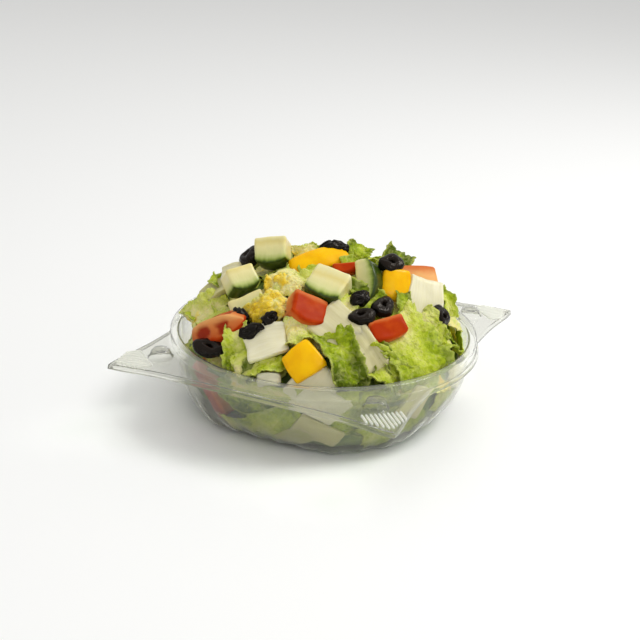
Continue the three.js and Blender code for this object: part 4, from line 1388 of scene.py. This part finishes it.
# a leaf is greener towards its sides and its tip, and in patches; its crinkles add painted shade and
# light, greener and darker in their hollows and yellower on their ridges
tone = green
for what, how_much in ((aside, 0.26), (split["X"], 0.16), (patches, 0.5), (crinkle, -0.5)):
    tone = add_node(tree, MATH, "MULTIPLY_ADD", _0=what, _1=how_much, _2=tone)
tone = add_node(tree, MATH, "SUBTRACT", _0=tone, _1=0.15)
ramp = add_node(tree, "ShaderNodeValToRGB", Fac=tone)
set_stops(ramp, [(0.0, "f2ca34"), (0.1, "f6dc62"), (0.24, "f4e8a0"), (0.42, "dade78"),
                 (0.58, "c0cc3e"), (0.72, "a2b41a"), (0.86, "80940c"), (1.0, "5a6c06")])

# %% The leaf's edge, veins and grain
vein = add_node(tree, "ShaderNodeAttribute", attribute_name="vein").outputs["Fac"]
colour = ramp.outputs["Color"]
# the blade is thinnest along its edge, and the light that shines through it there is painted on as
# a paler colour; the veins are paler than the blade
for what, start, end, least, most, paler in (
    (aside, 0.8, 1.0, 0.0, 0.5, "ccd66a"),
    (vein, 0.05, 0.6, 0.22, 0.0, "e0dc92"),
):
    share = add_node(
        tree,
        "ShaderNodeMapRange",
        interpolation_type="SMOOTHSTEP",
        Value=what,
        From_Min=start,
        From_Max=end,
        To_Min=least,
        To_Max=most,
    )
    colour = add_node(
        tree, "ShaderNodeMix", data_type="RGBA", _0=share, _6=colour, _7=linear(paler)
    ).outputs[2]
tree.links.new(colour, shader.inputs["Base Color"])
# the fine grain of the blade, a little under a millimetre
grain = add_node(tree, "ShaderNodeTexNoise", Vector=in_object, Scale=1300.0, Detail=2.0).outputs["Fac"]
fine = add_node(tree, "ShaderNodeBump", Height=grain, Strength=0.35, Distance=0.0004).outputs["Normal"]
bump = add_node(tree, "ShaderNodeBump", Height=crinkle, Strength=0.9, Distance=0.0016, Normal=fine)
tree.links.new(bump.outputs["Normal"], shader.inputs["Normal"])

for name, batch in leaf_batches.items():
    faces = dress(batch.finish("romaine_leaves_" + name), leaf_look, "lettuce", "lettuce_heap")
    print(name, "leaves:", faces, "faces")

# %% [markdown]
# ## The look of the ribs
# The ribs are thick, juicy and nearly white, with fine strings along them. The strings are too fine
# to be modelled, so noise stretched along the rib draws them, as colour and as bumps.

# %% Crisp white rib
# thick, wet and half clear: a pale glow with strings along it
rib_look, tree, shader = new_material(
    "crisp romaine rib",
    Roughness=0.35,
    Specular_IOR_Level=0.3,
    Subsurface_Weight=0.35,
    Subsurface_Radius=(1.0, 1.0, 0.6),
    Subsurface_Scale=0.003,
)
flat = add_node(tree, "ShaderNodeAttribute", attribute_name="leaf_place").outputs["Vector"]
green = add_node(tree, "ShaderNodeAttribute", attribute_name="green").outputs["Fac"]
# the place runs from -1 to 1 across a rib, and nine times that makes room for 18 strings, which
# are about a millimetre apart
stretched = add_node(tree, VECTOR_MATH, "MULTIPLY", _0=flat, _1=(1.0, 9.0, 1.0))
strings = add_node(tree, "ShaderNodeTexNoise", Vector=stretched, Scale=1.0, Detail=3.0).outputs["Fac"]
uneven = add_node(tree, MATH, "MULTIPLY_ADD", _0=strings, _1=0.34, _2=-0.17)
tone = add_node(tree, MATH, "ADD", _0=green, _1=uneven)
ramp = add_node(tree, "ShaderNodeValToRGB", Fac=tone)
set_stops(ramp, [(0.0, "efeacb"), (0.2, "e4ddb6"), (0.4, "d3ca96"), (0.7, "b9be6c")])
tree.links.new(ramp.outputs["Color"], shader.inputs["Base Color"])
bump = add_node(tree, "ShaderNodeBump", Height=strings, Strength=0.3, Distance=0.0005)
tree.links.new(bump.outputs["Normal"], shader.inputs["Normal"])

for name, batch in rib_batches.items():
    faces = dress(batch.finish("romaine_ribs_" + name), rib_look, "lettuce", "lettuce_heap")
    print(name, "ribs:", faces, "faces")

# %% [markdown]
# ## The core of the heap
# Under the leaves that show there are more of them. They could all be made, but they lie too deep
# to be seen. A lumpy mound a little smaller than the heap stands for them, rings of points again.
# It is dark and uneven, as the gaps in a heap are.

# %% The core


def core_mesh():
    rings, around = [], 96
    turns = np.linspace(0, 2 * math.pi, around, False)
    # the low piece of tomato lies in a hollow of the core
    hollow = 9.0 * np.exp(-((np.degrees(turns - SERVING_TURN) - 215) / 17) ** 4)
    for z, gap in [(1.6, 8.0), (4, 5.0), (11, 3.6), (22, 3.6), (33, 6.0)]:
        rings.append([(float(wall_radius(a, z)) - gap - h, z, a) for a, h in zip(turns, hollow)])
    for share in (1.0, 0.94, 0.84, 0.68, 0.47, 0.22):
        rings.append([(73 * share, 34 + 43 * (1 - share**2.5), a) for a in turns])
    points = [(r * math.cos(a), r * math.sin(a), z) for ring in rings for r, z, a in ring]
    faces = tube_faces(len(rings), around)
    points += [(0, 0, 1.6), (0, 0, 77.5)]
    last = (len(rings) - 1) * around
    for k in range(around):
        faces.append([len(points) - 2, (k + 1) % around, k])
        faces.append([len(points) - 1, last + k, last + (k + 1) % around])
    points = np.array(points)
    lumps = wobble(points, 7.0, 1.6, 3.0)
    lumps[points[:, 2] < 33] *= 0.3
    return points + lumps, faces


# leaves in deep shade: dull and dark green, in patches of about 17 millimetres
core_look, tree, shader = new_material("shaded lettuce in the heap", Roughness=0.6)
in_object = add_node(tree, "ShaderNodeTexCoord").outputs["Object"]
patches = add_node(tree, "ShaderNodeTexNoise", Vector=in_object, Scale=60.0, Detail=5.0)
ramp = add_node(tree, "ShaderNodeValToRGB", Fac=patches.outputs["Fac"])
set_stops(ramp, [(0.35, "4a6218"), (0.65, "8a9f3c")])
tree.links.new(ramp.outputs["Color"], shader.inputs["Base Color"])
core = finished_object("heap_core", *core_mesh())
print("the core has", dress(core, core_look, "lettuce", "lettuce_heap"), "faces")
